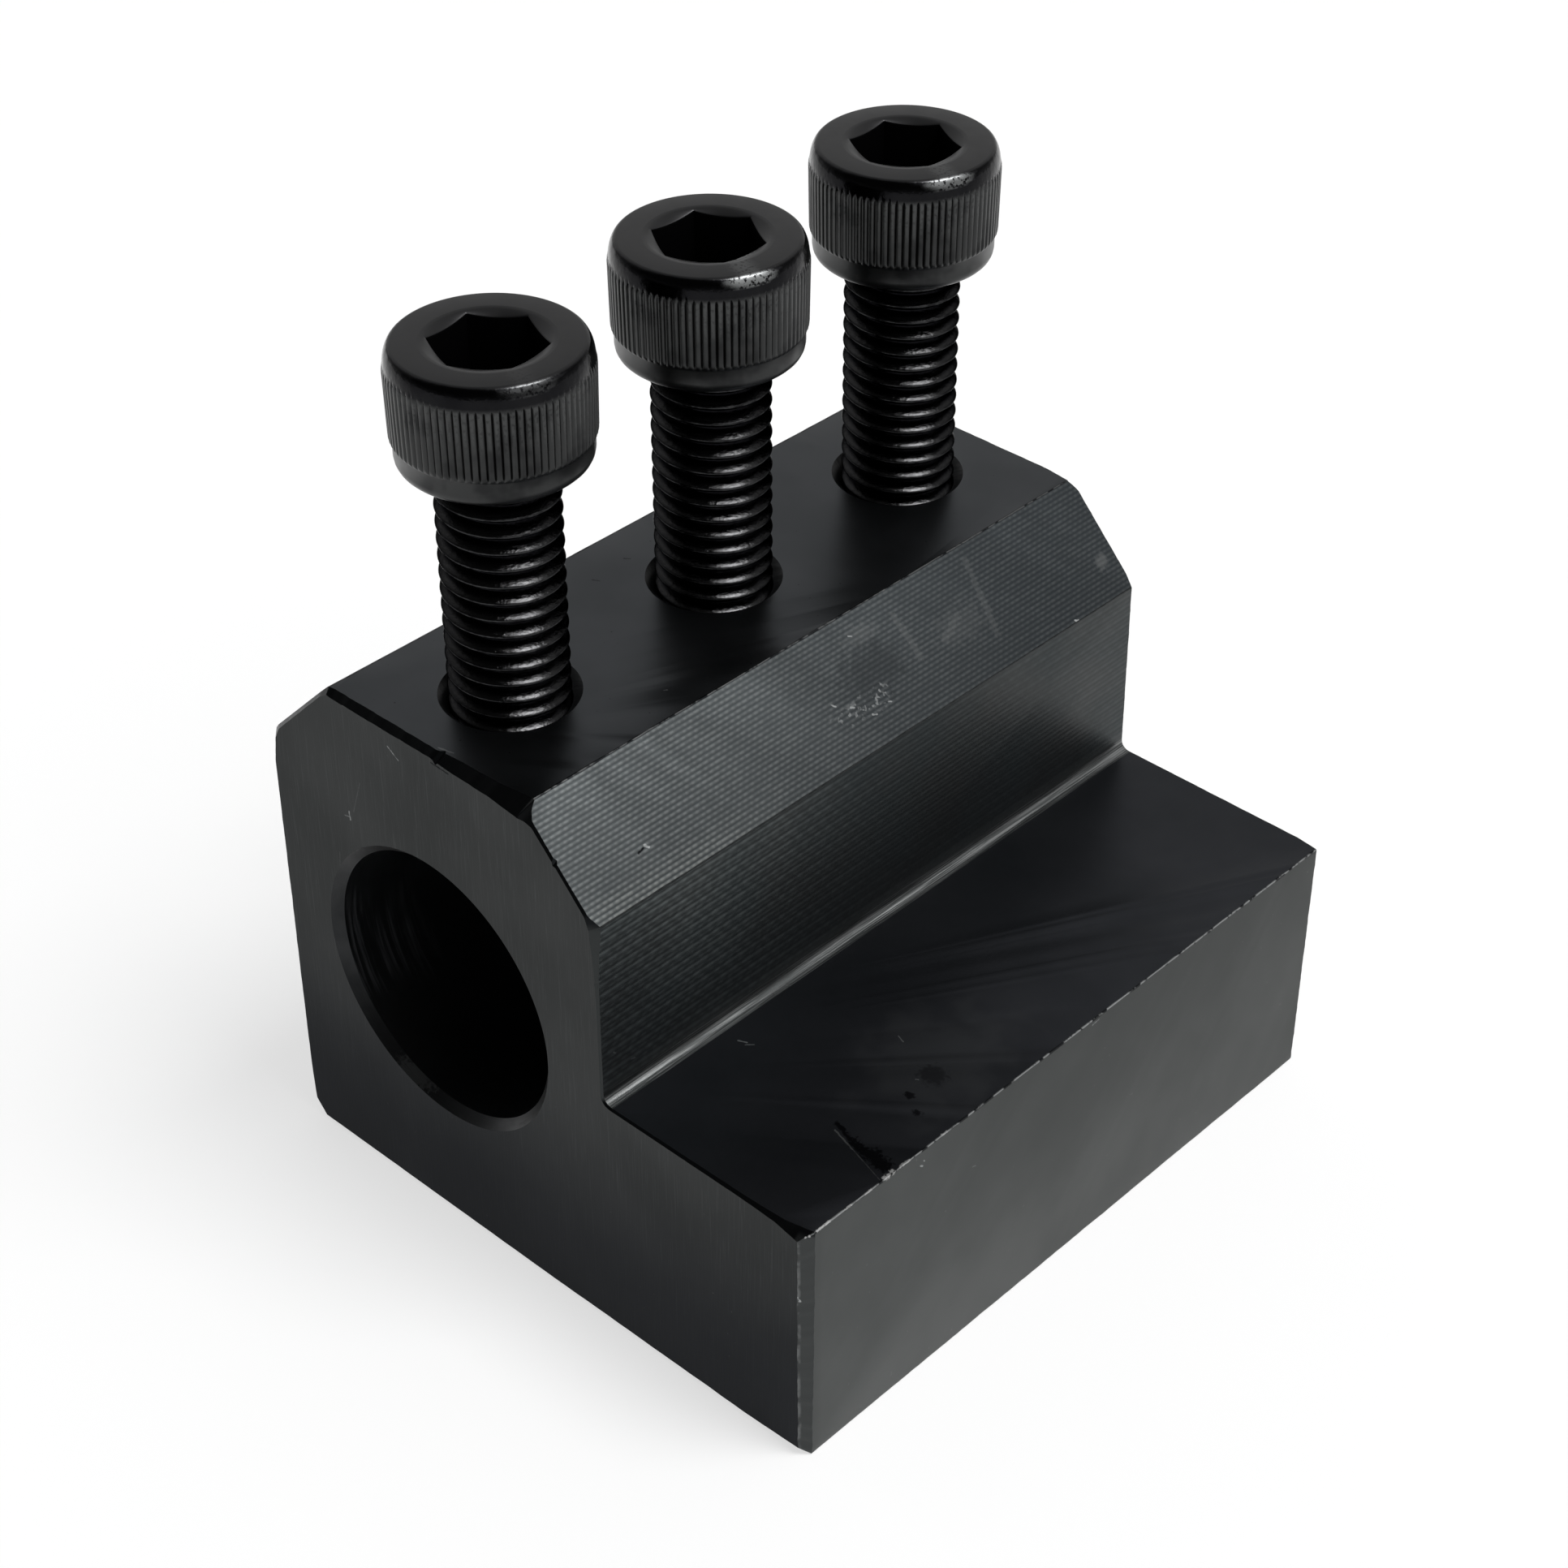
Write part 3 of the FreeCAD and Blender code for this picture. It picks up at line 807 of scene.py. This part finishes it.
# The fillet in the step: pale streaks along the corner, a painted highlight of the bright room that the
# fillet mirrors
FILLET_HIGHLIGHT_STREAK = (0.20, 0.205, 0.205)
fillet = BlackSteel("block_fillet", (0.045, 0.048, 0.048), (0.070, 0.074, 0.074), 0.30, cloud_size=5.0)
fillet_grain = fillet.grain(9.0, 0.12, 9.0)
# Painted highlight: the grain's streaks tinted pale
fillet.tint(fillet.fade(fillet_grain, 0.44, 0.60), FILLET_HIGHLIGHT_STREAK, 0.8)
fillet.raise_by(fillet_grain, 0.02)
block_fillet = fillet.finished()

# The filed edges: black, but painted pale up the flange's corners and the riser's as light on those
# breaks, with a painted highlight along the flange corner's edge, and worn by hands
FLANGE_CORNER_LIGHT = (0.048, 0.051, 0.051)
RISER_CORNER_LIGHT = (0.036, 0.039, 0.039)
filed = BlackSteel("block_filed", (0.010, 0.011, 0.012), (0.014, 0.015, 0.016), 0.36, cloud_size=2.0)
end_corner = filed.both(filed.fade(filed.x, 28.9, 29.2), filed.fade(filed.z, 24.3, 23.8))
# Painted light: the corner breaks are tinted pale
filed.tint(end_corner, FLANGE_CORNER_LIGHT, 0.95)
step_corner = filed.both(filed.fade(filed.z, 42.4, 41.6), filed.fade(filed.z, 24.6, 25.2))
filed.tint(filed.both(step_corner, filed.fade(filed.x, 0.0, 1.0)), RISER_CORNER_LIGHT, 0.9)
# Painted highlight: a thin ragged pale line where the corner break meets the end face, in the lint
# colour
corner_highlight_line = filed.both(filed.fade(filed.y, -33.02, -33.18), end_corner)
ragged = filed.fade(noise_at(filed.tree, filed.place, 1.3, 4.0), 0.42, 0.60)
filed.tint(filed.both(corner_highlight_line, ragged), LINT_AND_HIGHLIGHT, 0.9)
filed_wear = filed.wear(0.9, 0.72)
filed.tint(filed_wear, BARE_STEEL)
filed.scratched([
    ((29.35, -33.20, 17.6), (29.45, -33.10, 17.2), 0.12, CRUMB, 1.0),
    ((8.2, -33.1, 41.6), (8.2, -33.1, 39.0), 0.09, LINT_AND_HIGHLIGHT, 0.8),
])
filed.burred([
    ((29.50, -33.05, 24.5), (29.50, -33.05, 24.0), 0.12, 0.8),
    ((29.72, -32.83, 24.5), (29.72, -32.83, 24.0), 0.12, 0.8),
    ((29.94, -32.61, 24.5), (29.94, -32.61, 24.1), 0.11, 0.7),
] + CORNER_NICKS)
block_filed = filed.finished()

# The chamfered mouths of the bore
mouthed = BlackSteel("bore_mouth", (0.020, 0.021, 0.022), (0.030, 0.031, 0.032), 0.35, cloud_size=3.0)
mouth_grain = mouthed.grain(0.5, 6.0, 0.5)
mouthed.raise_by(mouth_grain, 0.02)
mouthed.smudged([((-15.5, -32.8, 13.0), (3.0, 3.0, 1.5), 0.3, LINT_AND_HIGHLIGHT, 0.5)])
block_mouth = mouthed.finished()

# Inside the bore and the screw holes: nearly black, with turning marks and a few pale streaks
BORE_STREAK = (0.05, 0.052, 0.056)
bored = BlackSteel("block_bored", (0.004, 0.0045, 0.005), (0.008, 0.0085, 0.009), 0.35, metallic=0.0,
                   specular=0.25, cloud_size=7.0)
bored_grain = bored.grain(0.10, 2.6, 0.10)
bored.raise_by(bored_grain, 0.03)
bored_streaks = bored.smudge_at((-22.8, -30.0, 21.5), (4.0, 6.5, 7.5), 6.0)
bored.tint(bored.both(bored_streaks, bored.fade(bored_grain, 0.48, 0.66)), BORE_STREAK, 0.6)
block_bored = bored.finished()

block_finishes = {
    "satin": block_satin,
    "ground": block_ground,
    "crown": block_crown,
    "flange": block_flange,
    "chamfer": block_chamfer,
    "riser": block_riser,
    "fillet": block_fillet,
    "filed": block_filed,
    "mouth": block_mouth,
    "bored": block_bored,
}
block = make_piece("tool_holder_block", *block_body(), block_finishes)


def bore_tool():
    """The shape that boring takes out, with both chamfered mouths, along Y."""
    half = (block_high.y - block_low.y) / 2
    mouth = BORE_RADIUS + BORE_CHAMFER
    profile = [
        (mouth + CUT_CLEARANCE, -half - CUT_CLEARANCE),
        (BORE_RADIUS, -half + BORE_CHAMFER),
        (BORE_RADIUS, half - BORE_CHAMFER),
        (mouth + CUT_CLEARANCE, half + CUT_CLEARANCE),
    ]
    points, faces = lathe(profile, BORE_SEGMENTS)
    centre = (block_high.y + block_low.y) / 2
    return [(bore_axis + x, centre - z, BORE_HEIGHT + y) for x, y, z in points], faces


MOUTH_STARTS = block_high.y - BORE_CHAMFER + STATION_SPACING / 2


def hole_tool(y):
    """The shape that drilling, tapping and countersinking take out, with its thread grooves."""
    start = block_high.z - HOLE_COUNTERSINK
    profile = [(HOLE_RADIUS, BORE_HEIGHT)]
    depth = start - HOLE_PITCH * HOLE_TURNS
    while depth < start - HOLE_PITCH / 2:
        for out, share in HOLE_GROOVE_SHAPE:
            profile.append((HOLE_RADIUS + out, depth + HOLE_PITCH * share))
        depth += HOLE_PITCH
    profile.append((HOLE_RADIUS, start))
    over = HOLE_COUNTERSINK + CUT_CLEARANCE
    profile.append((HOLE_RADIUS + over, start + over))
    points, faces = lathe(profile, HOLE_SEGMENTS)
    return [(bore_axis + across, y + along, z) for across, along, z in points], faces


CUTTING_TOOLS = [bore_tool()] + [hole_tool(SCREW_SPACING * place) for place in SCREW_ROW]
for tool_points, tool_faces in CUTTING_TOOLS:
    bored_from = {index for index, point in enumerate(tool_points) if abs(point[1]) < MOUTH_STARTS}
    finishes = ["bored" if bored_from.issuperset(face) else "mouth" for face in tool_faces]
    tool = make_piece("cutting_tool", tool_points, tool_faces, finishes, block_finishes)
    cut(block, tool)
block.data.set_sharp_from_angle(angle=math.radians(BLOCK_SHARP_ANGLE))


def mark_rub(piece, amount_at):
    """Write on each point of a mesh how much handling rubs it."""
    values = [amount_at(vertex.co / MM) for vertex in piece.data.vertices]
    attribute = piece.data.attributes.new("rub", "FLOAT", "POINT")
    attribute.data.foreach_set("value", values)


def block_rub(point):
    """How much handling rubs a long edge. The filed end edges stay black."""
    for corner, size, _, rub, _ in LONG_EDGES:
        if math.hypot(point.x - corner.x, point.z - corner.y) < size * RUB_REACH:
            return rub
    return 0.0


mark_rub(block, block_rub)
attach(block, "holder")
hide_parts("holder_block")


# The three clamp screws are M10 socket-head cap screws of alloy steel, cold-headed with a
# hexagon socket, knurled round the rim, thread-rolled right up to the head, and blackened.
# They are screwed part-way into the block, oil still on their threads.

HEAD_HEIGHT = 10.0
HEAD_UNDERSIDE = 71.4
SCREW_LENGTH = 30.0
THREAD_RADIUS = 4.95
THREAD_PITCH = 1.5
THREAD_DEPTH = 0.90
THREAD_TURN_STEPS = 96
TIP_CHAMFER = 1.0
NECK_FILLET = 0.6
NECK_DEPTH = 0.55
KNURLS = 84
KNURL_STEPS = 8
HEAD_SEGMENTS = KNURLS * KNURL_STEPS
BLANK_RADIUS = 7.92
KNURL_RISE = 0.09
KNURL_TOP = 8.25
KNURL_BOTTOM = 2.25
HEXAGON_HALF = 4.0
HEXAGON_DEPTH = 5.2
DRILL_SHARE = 0.45
DRILL_DEPTH = 0.8
SOCKET_MOUTH = 5.0
MOUTH_SLOPE = 20.0
# How the hexagon rounds into its countersink, as (out from the hexagon, drop from the slope),
# and the countersink into the ring, as (out from the mouth's edge, drop from the ring)
HEXAGON_EDGE = [(0.0, 0.14), (0.05, 0.0382), (0.14, 0.0)]
MOUTH_EDGE = [(-0.15, 0.055), (0.02, 0.015), (0.25, 0.0)]
RING_EDGE = 7.2
SHOULDER_STEPS = 14
SOCKET_ROWS = 3
SCREW_SHARP_ANGLE = 38.0
# How the start of the knurls wavers, counted in knurls, and over how much height they run out
# under the shoulder and over the collar
KNURL_WAVES = [(0.14, 1.3, 0), (0.1, 9.0, 3)]
KNURL_LEAD = 0.25
KNURL_FADE_TOP = 0.5
KNURL_FADE_BOTTOM = 0.3

# The head's outside from the ring down to the underside, as (radius, height)
HEAD_PROFILE = []
for step in range(SHOULDER_STEPS):
    turn = math.pi / 2 * step / SHOULDER_STEPS
    bulge = (BLANK_RADIUS - RING_EDGE) * math.sin(turn)
    HEAD_PROFILE.append((RING_EDGE + bulge, KNURL_TOP + (HEAD_HEIGHT - KNURL_TOP) * math.cos(turn)))
HEAD_PROFILE += [
    (BLANK_RADIUS, 8.25), (BLANK_RADIUS, 8.1), (BLANK_RADIUS, 7.95), (BLANK_RADIUS, 7.8),
    (7.90, 6.5), (7.87, 4.5), (7.84, 2.7), (7.83, 2.5), (7.80, 2.35), (7.72, 2.2), (7.66, 2.1),
    (7.66, 0.95), (7.60, 0.60), (7.46, 0.32), (7.26, 0.12), (7.0, 0.0),
]
# One knurl, from the middle of its land round to the next: 1 is the land and -1 the groove
KNURL_SHAPE = [1.0, 1.0, 0.85, 0.1, -1.0, 0.1, 0.85, 1.0]
# One turn of thread, as (share of the pitch, share of the depth)
THREAD_SHAPE = [
    (0.0, 0.0), (0.05, 0.02), (0.10, 0.10), (0.20, 0.38), (0.30, 0.66), (0.40, 0.92),
    (0.46, 1.0), (0.54, 1.0), (0.60, 0.92), (0.70, 0.66), (0.80, 0.38), (0.90, 0.10),
    (0.95, 0.02),
]


def head_radius(radius, height, segment, seed):
    """Radius of the knurled rim: the knurls run out into the shoulder, each a little
    differently, and stop in a step over the collar."""
    knurl = segment // KNURL_STEPS
    start = KNURL_TOP + waver(knurl, KNURL_WAVES, seed)
    top = min(max((start + KNURL_LEAD - height) / KNURL_FADE_TOP, 0.0), 1.0)
    bottom = min(max((height - KNURL_BOTTOM) / KNURL_FADE_BOTTOM, 0.0), 1.0)
    lean = KNURL_SHAPE[segment % KNURL_STEPS]
    return radius + KNURL_RISE * top * bottom * lean


def thread_radius(share, height):
    """Radius of the thread at a share of its turn, with the neck under the head and the
    chamfered tip."""
    radius = THREAD_RADIUS - THREAD_DEPTH * share
    neck = height + NECK_FILLET
    if neck > 0:
        curve = NECK_FILLET - math.sqrt(max(NECK_FILLET ** 2 - neck ** 2, 0.0))
        radius = max(radius, THREAD_RADIUS - NECK_DEPTH + curve)
    tip = THREAD_RADIUS - TIP_CHAMFER + (height + SCREW_LENGTH)
    return min(radius, tip)


def cap_screw(seed):
    """Points, faces and finishes of one screw, with the underside of its head at height 0."""
    points = []
    faces = []
    finishes = []

    def ring(radius_at, height_at):
        start = len(points)
        for segment in range(HEAD_SEGMENTS):
            angle = 2 * math.pi * segment / HEAD_SEGMENTS
            radius = radius_at(segment)
            points.append((radius * math.cos(angle), radius * math.sin(angle), height_at(segment)))
        return list(range(start, len(points)))

    def join(upper, lower, finish):
        for here in range(len(upper)):
            after = (here + 1) % len(upper)
            faces.append((upper[here], lower[here], lower[after], upper[after]))
            finishes.append(finish)

    def hexagon(segment):
        sixth = 2 * math.pi * segment / HEAD_SEGMENTS % (math.pi / 3)
        return HEXAGON_HALF / math.cos(sixth - math.pi / 6)

    def mouth_height(radius):
        return HEAD_HEIGHT - (SOCKET_MOUTH - radius) * math.tan(math.radians(MOUTH_SLOPE))

    socket_floor = HEAD_HEIGHT - HEXAGON_DEPTH
    floor = ring(lambda s: hexagon(s) * DRILL_SHARE, lambda s: socket_floor - DRILL_DEPTH)
    socket = [floor, ring(hexagon, lambda s: socket_floor)]
    for out, drop in HEXAGON_EDGE:
        socket.append(ring(lambda s: hexagon(s) + out, lambda s: mouth_height(hexagon(s) + out) - drop))
    for out, drop in MOUTH_EDGE:
        socket.append(ring(lambda s: SOCKET_MOUTH + out, lambda s: HEAD_HEIGHT - drop))
    for row, (lower, upper) in enumerate(zip(socket, socket[1:])):
        join(upper, lower, "socket" if row < SOCKET_ROWS else "head")
    faces.append(tuple(floor))
    finishes.append("socket")

    outside = [socket[-1]]
    for radius, height in HEAD_PROFILE:
        outside.append(ring(lambda s: head_radius(radius, height, s, seed), lambda s: height))
    for upper, lower in zip(outside, outside[1:]):
        join(upper, lower, "head")

    # The thread is one helical strip. Rows above the head's underside or below the tip fall
    # together there, and are welded into the rings that close it.
    rows_per_turn = len(THREAD_SHAPE)
    turns = math.ceil(SCREW_LENGTH / THREAD_PITCH) + 1
    helix = {}
    known = {}
    for row in range(rows_per_turn * turns + 1):
        turn, place = divmod(row, rows_per_turn)
        share, depth = THREAD_SHAPE[place]
        for step in range(THREAD_TURN_STEPS + 1):
            fall = THREAD_PITCH * (turn + share + step / THREAD_TURN_STEPS)
            height = min(max(THREAD_PITCH - fall, -SCREW_LENGTH), 0.0)
            radius = thread_radius(depth, height)
            angle = 2 * math.pi * step / THREAD_TURN_STEPS
            key = (step % THREAD_TURN_STEPS, round(height, 4), round(radius, 4))
            if key not in known:
                known[key] = len(points)
                points.append((radius * math.cos(angle), radius * math.sin(angle), height))
            helix[row, step] = known[key]
    for row in range(rows_per_turn * turns):
        for step in range(THREAD_TURN_STEPS):
            quad = [(row, step), (row + 1, step), (row + 1, step + 1), (row, step + 1)]
            corners = list(dict.fromkeys(helix[place] for place in quad))
            if len(corners) > 2:
                faces.append(tuple(corners))
                finishes.append("thread")

    def thread_end(height):
        at_end = [(key[0], index) for key, index in known.items() if key[1] == height]
        return [index for _, index in sorted(at_end)]

    upper_ring = thread_end(0.0)
    underside = outside[-1]
    share = HEAD_SEGMENTS // THREAD_TURN_STEPS
    for step, index in enumerate(upper_ring):
        after = (step + 1) % THREAD_TURN_STEPS
        rim = [underside[(step * share + extra) % HEAD_SEGMENTS] for extra in range(share + 1)]
        faces.append(tuple(rim[::-1] + [index, upper_ring[after]]))
        finishes.append("head")
    faces.append(tuple(reversed(thread_end(-SCREW_LENGTH))))
    finishes.append("thread")
    return points, faces, finishes


# The heads: matt on the ring and the knurled side, glossy and dimpled on the shoulder between, whose
# colour is kept far darker than theirs as painted shade
RING_ENDS = (7.56, 7.30)
RING_GREY = (0.035, 0.035, 0.036)
SIDE_ENDS = (8.5, 8.1)
SIDE_GREY = (0.040, 0.041, 0.041)
headed = BlackSteel("screw_head", (0.009, 0.009, 0.010), (0.013, 0.013, 0.014), 0.34, cloud_size=2.5)
# Painted shade: the base colour, far darker than the ring and side tints laid over it, is the shoulder's
ring = headed.fade(headed.from_axis(), *RING_ENDS)
side = headed.fade(headed.z, *SIDE_ENDS)
headed.tint(ring, RING_GREY, 0.95)
headed.tint(side, SIDE_GREY, 0.95)
oily = headed.fade(noise_at(headed.tree, headed.place, 4.0, 3.0), 0.52, 0.66)
headed.tint(headed.both(side, oily), OIL_AND_SHADE, 0.45)
glossy = calc(headed.tree, "SUBTRACT", 1.0, calc(headed.tree, "MAXIMUM", ring, side))
headed.roughen(glossy, -0.17)
dimples = noise_at(headed.tree, headed.place, 0.9, 3.0)
headed.raise_by(headed.both(dimples, glossy), 0.05)
# Worn bare steel, partly a painted highlight: it lies where the main lamp glints on every head
head_wear_and_glint = headed.wear(0.3, 0.75)
headed.tint(head_wear_and_glint, BARE_STEEL, 0.8)
headed.roughen(head_wear_and_glint, 0.22)
screw_head = headed.finished()

# The sockets: painted near-black, with almost no reflection, as shade deep in the recess
socketed = BlackSteel("screw_socket", (0.0005, 0.0005, 0.0006), (0.0008, 0.0008, 0.0009), 0.6,
                      metallic=0.0, specular=0.02)
screw_socket = socketed.finished()

# The thread is glossy with oil; its root and its crest are painted dark as shade, its flanks left glossy
threaded = BlackSteel("screw_thread", (0.034, 0.034, 0.035), (0.044, 0.044, 0.045), 0.07, cloud_size=3.0,
                      glancing=0.3)
upper_flank = THREAD_RADIUS - 0.25 * THREAD_DEPTH
lower_flank = THREAD_RADIUS - 0.75 * THREAD_DEPTH
# Painted shade: the root darkened with the oil colour
threaded.tint(threaded.fade(threaded.from_axis(), upper_flank, lower_flank), OIL_AND_SHADE, 0.9)
crest_starts = THREAD_RADIUS - 0.12
crest_top = THREAD_RADIUS - 0.03
# Painted shade: the crest darkened, where it would mirror the bright floor
threaded.tint(threaded.fade(threaded.from_axis(), crest_starts, crest_top), OIL_AND_SHADE, 0.6)
rolled_grain = threaded.grain(2.4, 2.4, 5.5)
threaded.raise_by(rolled_grain, 0.05)
thread_wear = threaded.wear(1.2, 0.75)
threaded.tint(thread_wear, BARE_STEEL, 0.06)
screw_thread = threaded.finished()

screw_finishes = {"head": screw_head, "socket": screw_socket, "thread": screw_thread}

# Each screw's piece, CAD node, body, place along the row, turn, and how far one side of its
# shoulder has worn through to the steel; that side faces the main lamp, so the patch is partly a painted
# highlight
SCREWS = [
    ("cap_screw_front", "clamp_screw_front", "front_screw", -1, 38.0, 0.2),
    ("cap_screw_middle", "clamp_screw_middle", "middle_screw", 0, 29.0, 0.9),
    ("cap_screw_rear", "clamp_screw_rear", "rear_screw", 1, 34.0, 0.7),
]
# The side where the main lamp glints on every shoulder, taken as the worn side
WEAR_AND_GLINT_AZIMUTH = 70.0
WORN_HEIGHT = 9.55
WORN_LENGTH = 2.2
WORN_WIDTH = 0.42
KNURL_RUB = 0.05
CREST_DEPTH = 0.05
KNURL_CREST = BLANK_RADIUS + 0.06
WORN_PEAK = 2.4
WORN_FALL = 2.0


def screw_rub(point, worn):
    """The crests of the thread and of the knurls rub a little, the knurls most on one side, and that
    side of the shoulder much more. It is the side where the main lamp glints, so its bare steel is
    partly a painted highlight."""
    x, y, z = point
    radius = math.hypot(x, y)
    if z < 0:
        return 1.0 if radius > THREAD_RADIUS - CREST_DEPTH else 0.0
    aside = radius * (math.atan2(x, -y) - math.radians(WEAR_AND_GLINT_AZIMUTH))
    away = math.hypot(aside / WORN_LENGTH, (z - WORN_HEIGHT) / WORN_WIDTH)
    towards = 1.0 + math.cos(aside / radius)
    knurl_rub = KNURL_RUB * towards if radius > KNURL_CREST else 0.0
    return max(knurl_rub, worn * min(max(WORN_PEAK - WORN_FALL * away, 0.0), 1.0))


for number, (piece_name, node_name, body_name, place, turn, worn) in enumerate(SCREWS):
    screw = make_piece(piece_name, *cap_screw(number), screw_finishes)
    screw.data.set_sharp_from_angle(angle=math.radians(SCREW_SHARP_ANGLE))
    turned = Euler((0.0, 0.0, math.radians(turn))).to_matrix().to_4x4()
    screw.data.transform(turned)
    mark_rub(screw, lambda point: screw_rub(point, worn))
    screw.location = (bore_axis * MM, SCREW_SPACING * place * MM, HEAD_UNDERSIDE * MM)
    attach(screw, body_name)
    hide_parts(node_name)


# The photographer's table: a plain white sheet that fills the view and takes a soft shadow.
# Its own glow shows to the camera and in reflections only, so it adds no light to the object.

FLOOR_RADIUS = 12000.0
FLOOR_DROP = 0.05
FLOOR_THICKNESS = 1.0
FLOOR_SEGMENTS = 64
FLOOR_COLOUR = (0.92, 0.92, 0.92, 1)
FLOOR_GLOW = 0.65

sheet_profile = [(FLOOR_RADIUS, -FLOOR_THICKNESS), (FLOOR_RADIUS, -FLOOR_DROP)]
floor_points, floor_faces = lathe(sheet_profile, FLOOR_SEGMENTS)
floor_material = bpy.data.materials.new("white_sheet")
floor_material.use_nodes = True
sheet_tree = floor_material.node_tree
sheet_tree.nodes.clear()
sheet_diffuse = node(sheet_tree, "ShaderNodeBsdfDiffuse", {"Color": FLOOR_COLOUR})
sheet_glow = node(sheet_tree, "ShaderNodeEmission", {"Color": (1, 1, 1, 1), "Strength": 1.0})
ray = node(sheet_tree, "ShaderNodeLightPath").outputs
seen = calc(sheet_tree, "MAXIMUM", ray["Is Camera Ray"], ray["Is Glossy Ray"])
seen = calc(sheet_tree, "MAXIMUM", seen, ray["Is Transmission Ray"])
sheet_mix = node(sheet_tree, "ShaderNodeMixShader", {
    0: calc(sheet_tree, "MULTIPLY", seen, FLOOR_GLOW),
    1: sheet_diffuse.outputs[0],
    2: sheet_glow.outputs[0],
})
node(sheet_tree, "ShaderNodeOutputMaterial", {"Surface": sheet_mix.outputs[0]})
sheet_finishes = ["sheet"] * len(floor_faces)
floor = make_piece("white_floor", floor_points, floor_faces, sheet_finishes, {"sheet": floor_material})


# Plain soft studio light: a main lamp high on the right with a bright middle, three weaker ones
# lower round the object, and a pale room, brightest near the horizon, darkest overhead and on
# the camera's side.

ROOM_LEVEL = 0.30
FRONT_LEVEL = 0.07
HORIZON_LEVEL = 0.50
FRONT_HORIZON_LEVEL = 0.20
FRONT_AZIMUTH = 15.0
CEILING_LEVEL = 0.05
# How far round the front reaches, and where the horizon ends and the ceiling starts, as cosines
# and sines of the angle
FRONT_SPREAD = 0.6
HORIZON_ENDS = (0.05, 0.30)
CEILING_STARTS = (0.70, 0.90)
# Each lamp's name, azimuth, elevation, width in degrees and strength
LAMPS = [
    ("main_lamp", 118.0, 62.0, 44.0, 0.4),
    ("main_lamp_middle", 116.0, 64.0, 26.0, 2.3),
    ("right_lamp", 86.0, 40.0, 42.0, 0.4),
    ("side_lamp", 128.0, 31.0, 28.0, 0.17),
    ("left_lamp", 223.0, 42.0, 90.0, 0.42),
]

for lamp_name, azimuth, elevation, width, strength in LAMPS:
    lamp_data = bpy.data.lights.new(lamp_name, "SUN")
    lamp_data.angle = math.radians(width)
    lamp_data.energy = strength
    lamp = bpy.data.objects.new(lamp_name, lamp_data)
    lamp.rotation_euler = turned_to(azimuth, elevation)
    bpy.context.collection.objects.link(lamp)

world = bpy.data.worlds.new("pale_room")
world.use_nodes = True
room = world.node_tree
room.nodes.clear()
direction = node(room, "ShaderNodeTexCoord").outputs["Generated"]
front_angle = math.radians(FRONT_AZIMUTH)
front = (math.sin(front_angle), -math.cos(front_angle), 0.0)
to_front = vector_calc(room, "DOT_PRODUCT", direction, front)
wall_level = fade(room, to_front, 0.0, FRONT_SPREAD, ROOM_LEVEL, FRONT_LEVEL)
horizon_level = fade(room, to_front, 0.0, FRONT_SPREAD, HORIZON_LEVEL, FRONT_HORIZON_LEVEL)
upward = node(room, "ShaderNodeSeparateXYZ", {0: direction}).outputs["Z"]
to_wall = calc(room, "SUBTRACT", wall_level, horizon_level)
wall_share = fade(room, upward, *HORIZON_ENDS)
below_ceiling = calc(room, "MULTIPLY_ADD", wall_share, to_wall, horizon_level)
to_ceiling = calc(room, "SUBTRACT", CEILING_LEVEL, below_ceiling)
level = calc(room, "MULTIPLY_ADD", fade(room, upward, *CEILING_STARTS), to_ceiling, below_ceiling)
# Past the floor's edge the camera sees white too
past_floor = node(room, "ShaderNodeLightPath").outputs
looked_at = calc(room, "MAXIMUM", past_floor["Is Camera Ray"], past_floor["Is Transmission Ray"])
shown_level = calc(room, "MAXIMUM", level, looked_at)
room_light = node(room, "ShaderNodeBackground", {"Color": (1, 1, 1, 1), "Strength": shown_level})
node(room, "ShaderNodeOutputWorld", {"Surface": room_light.outputs[0]})
bpy.context.scene.world = world
bpy.context.scene.view_settings.view_transform = "Standard"
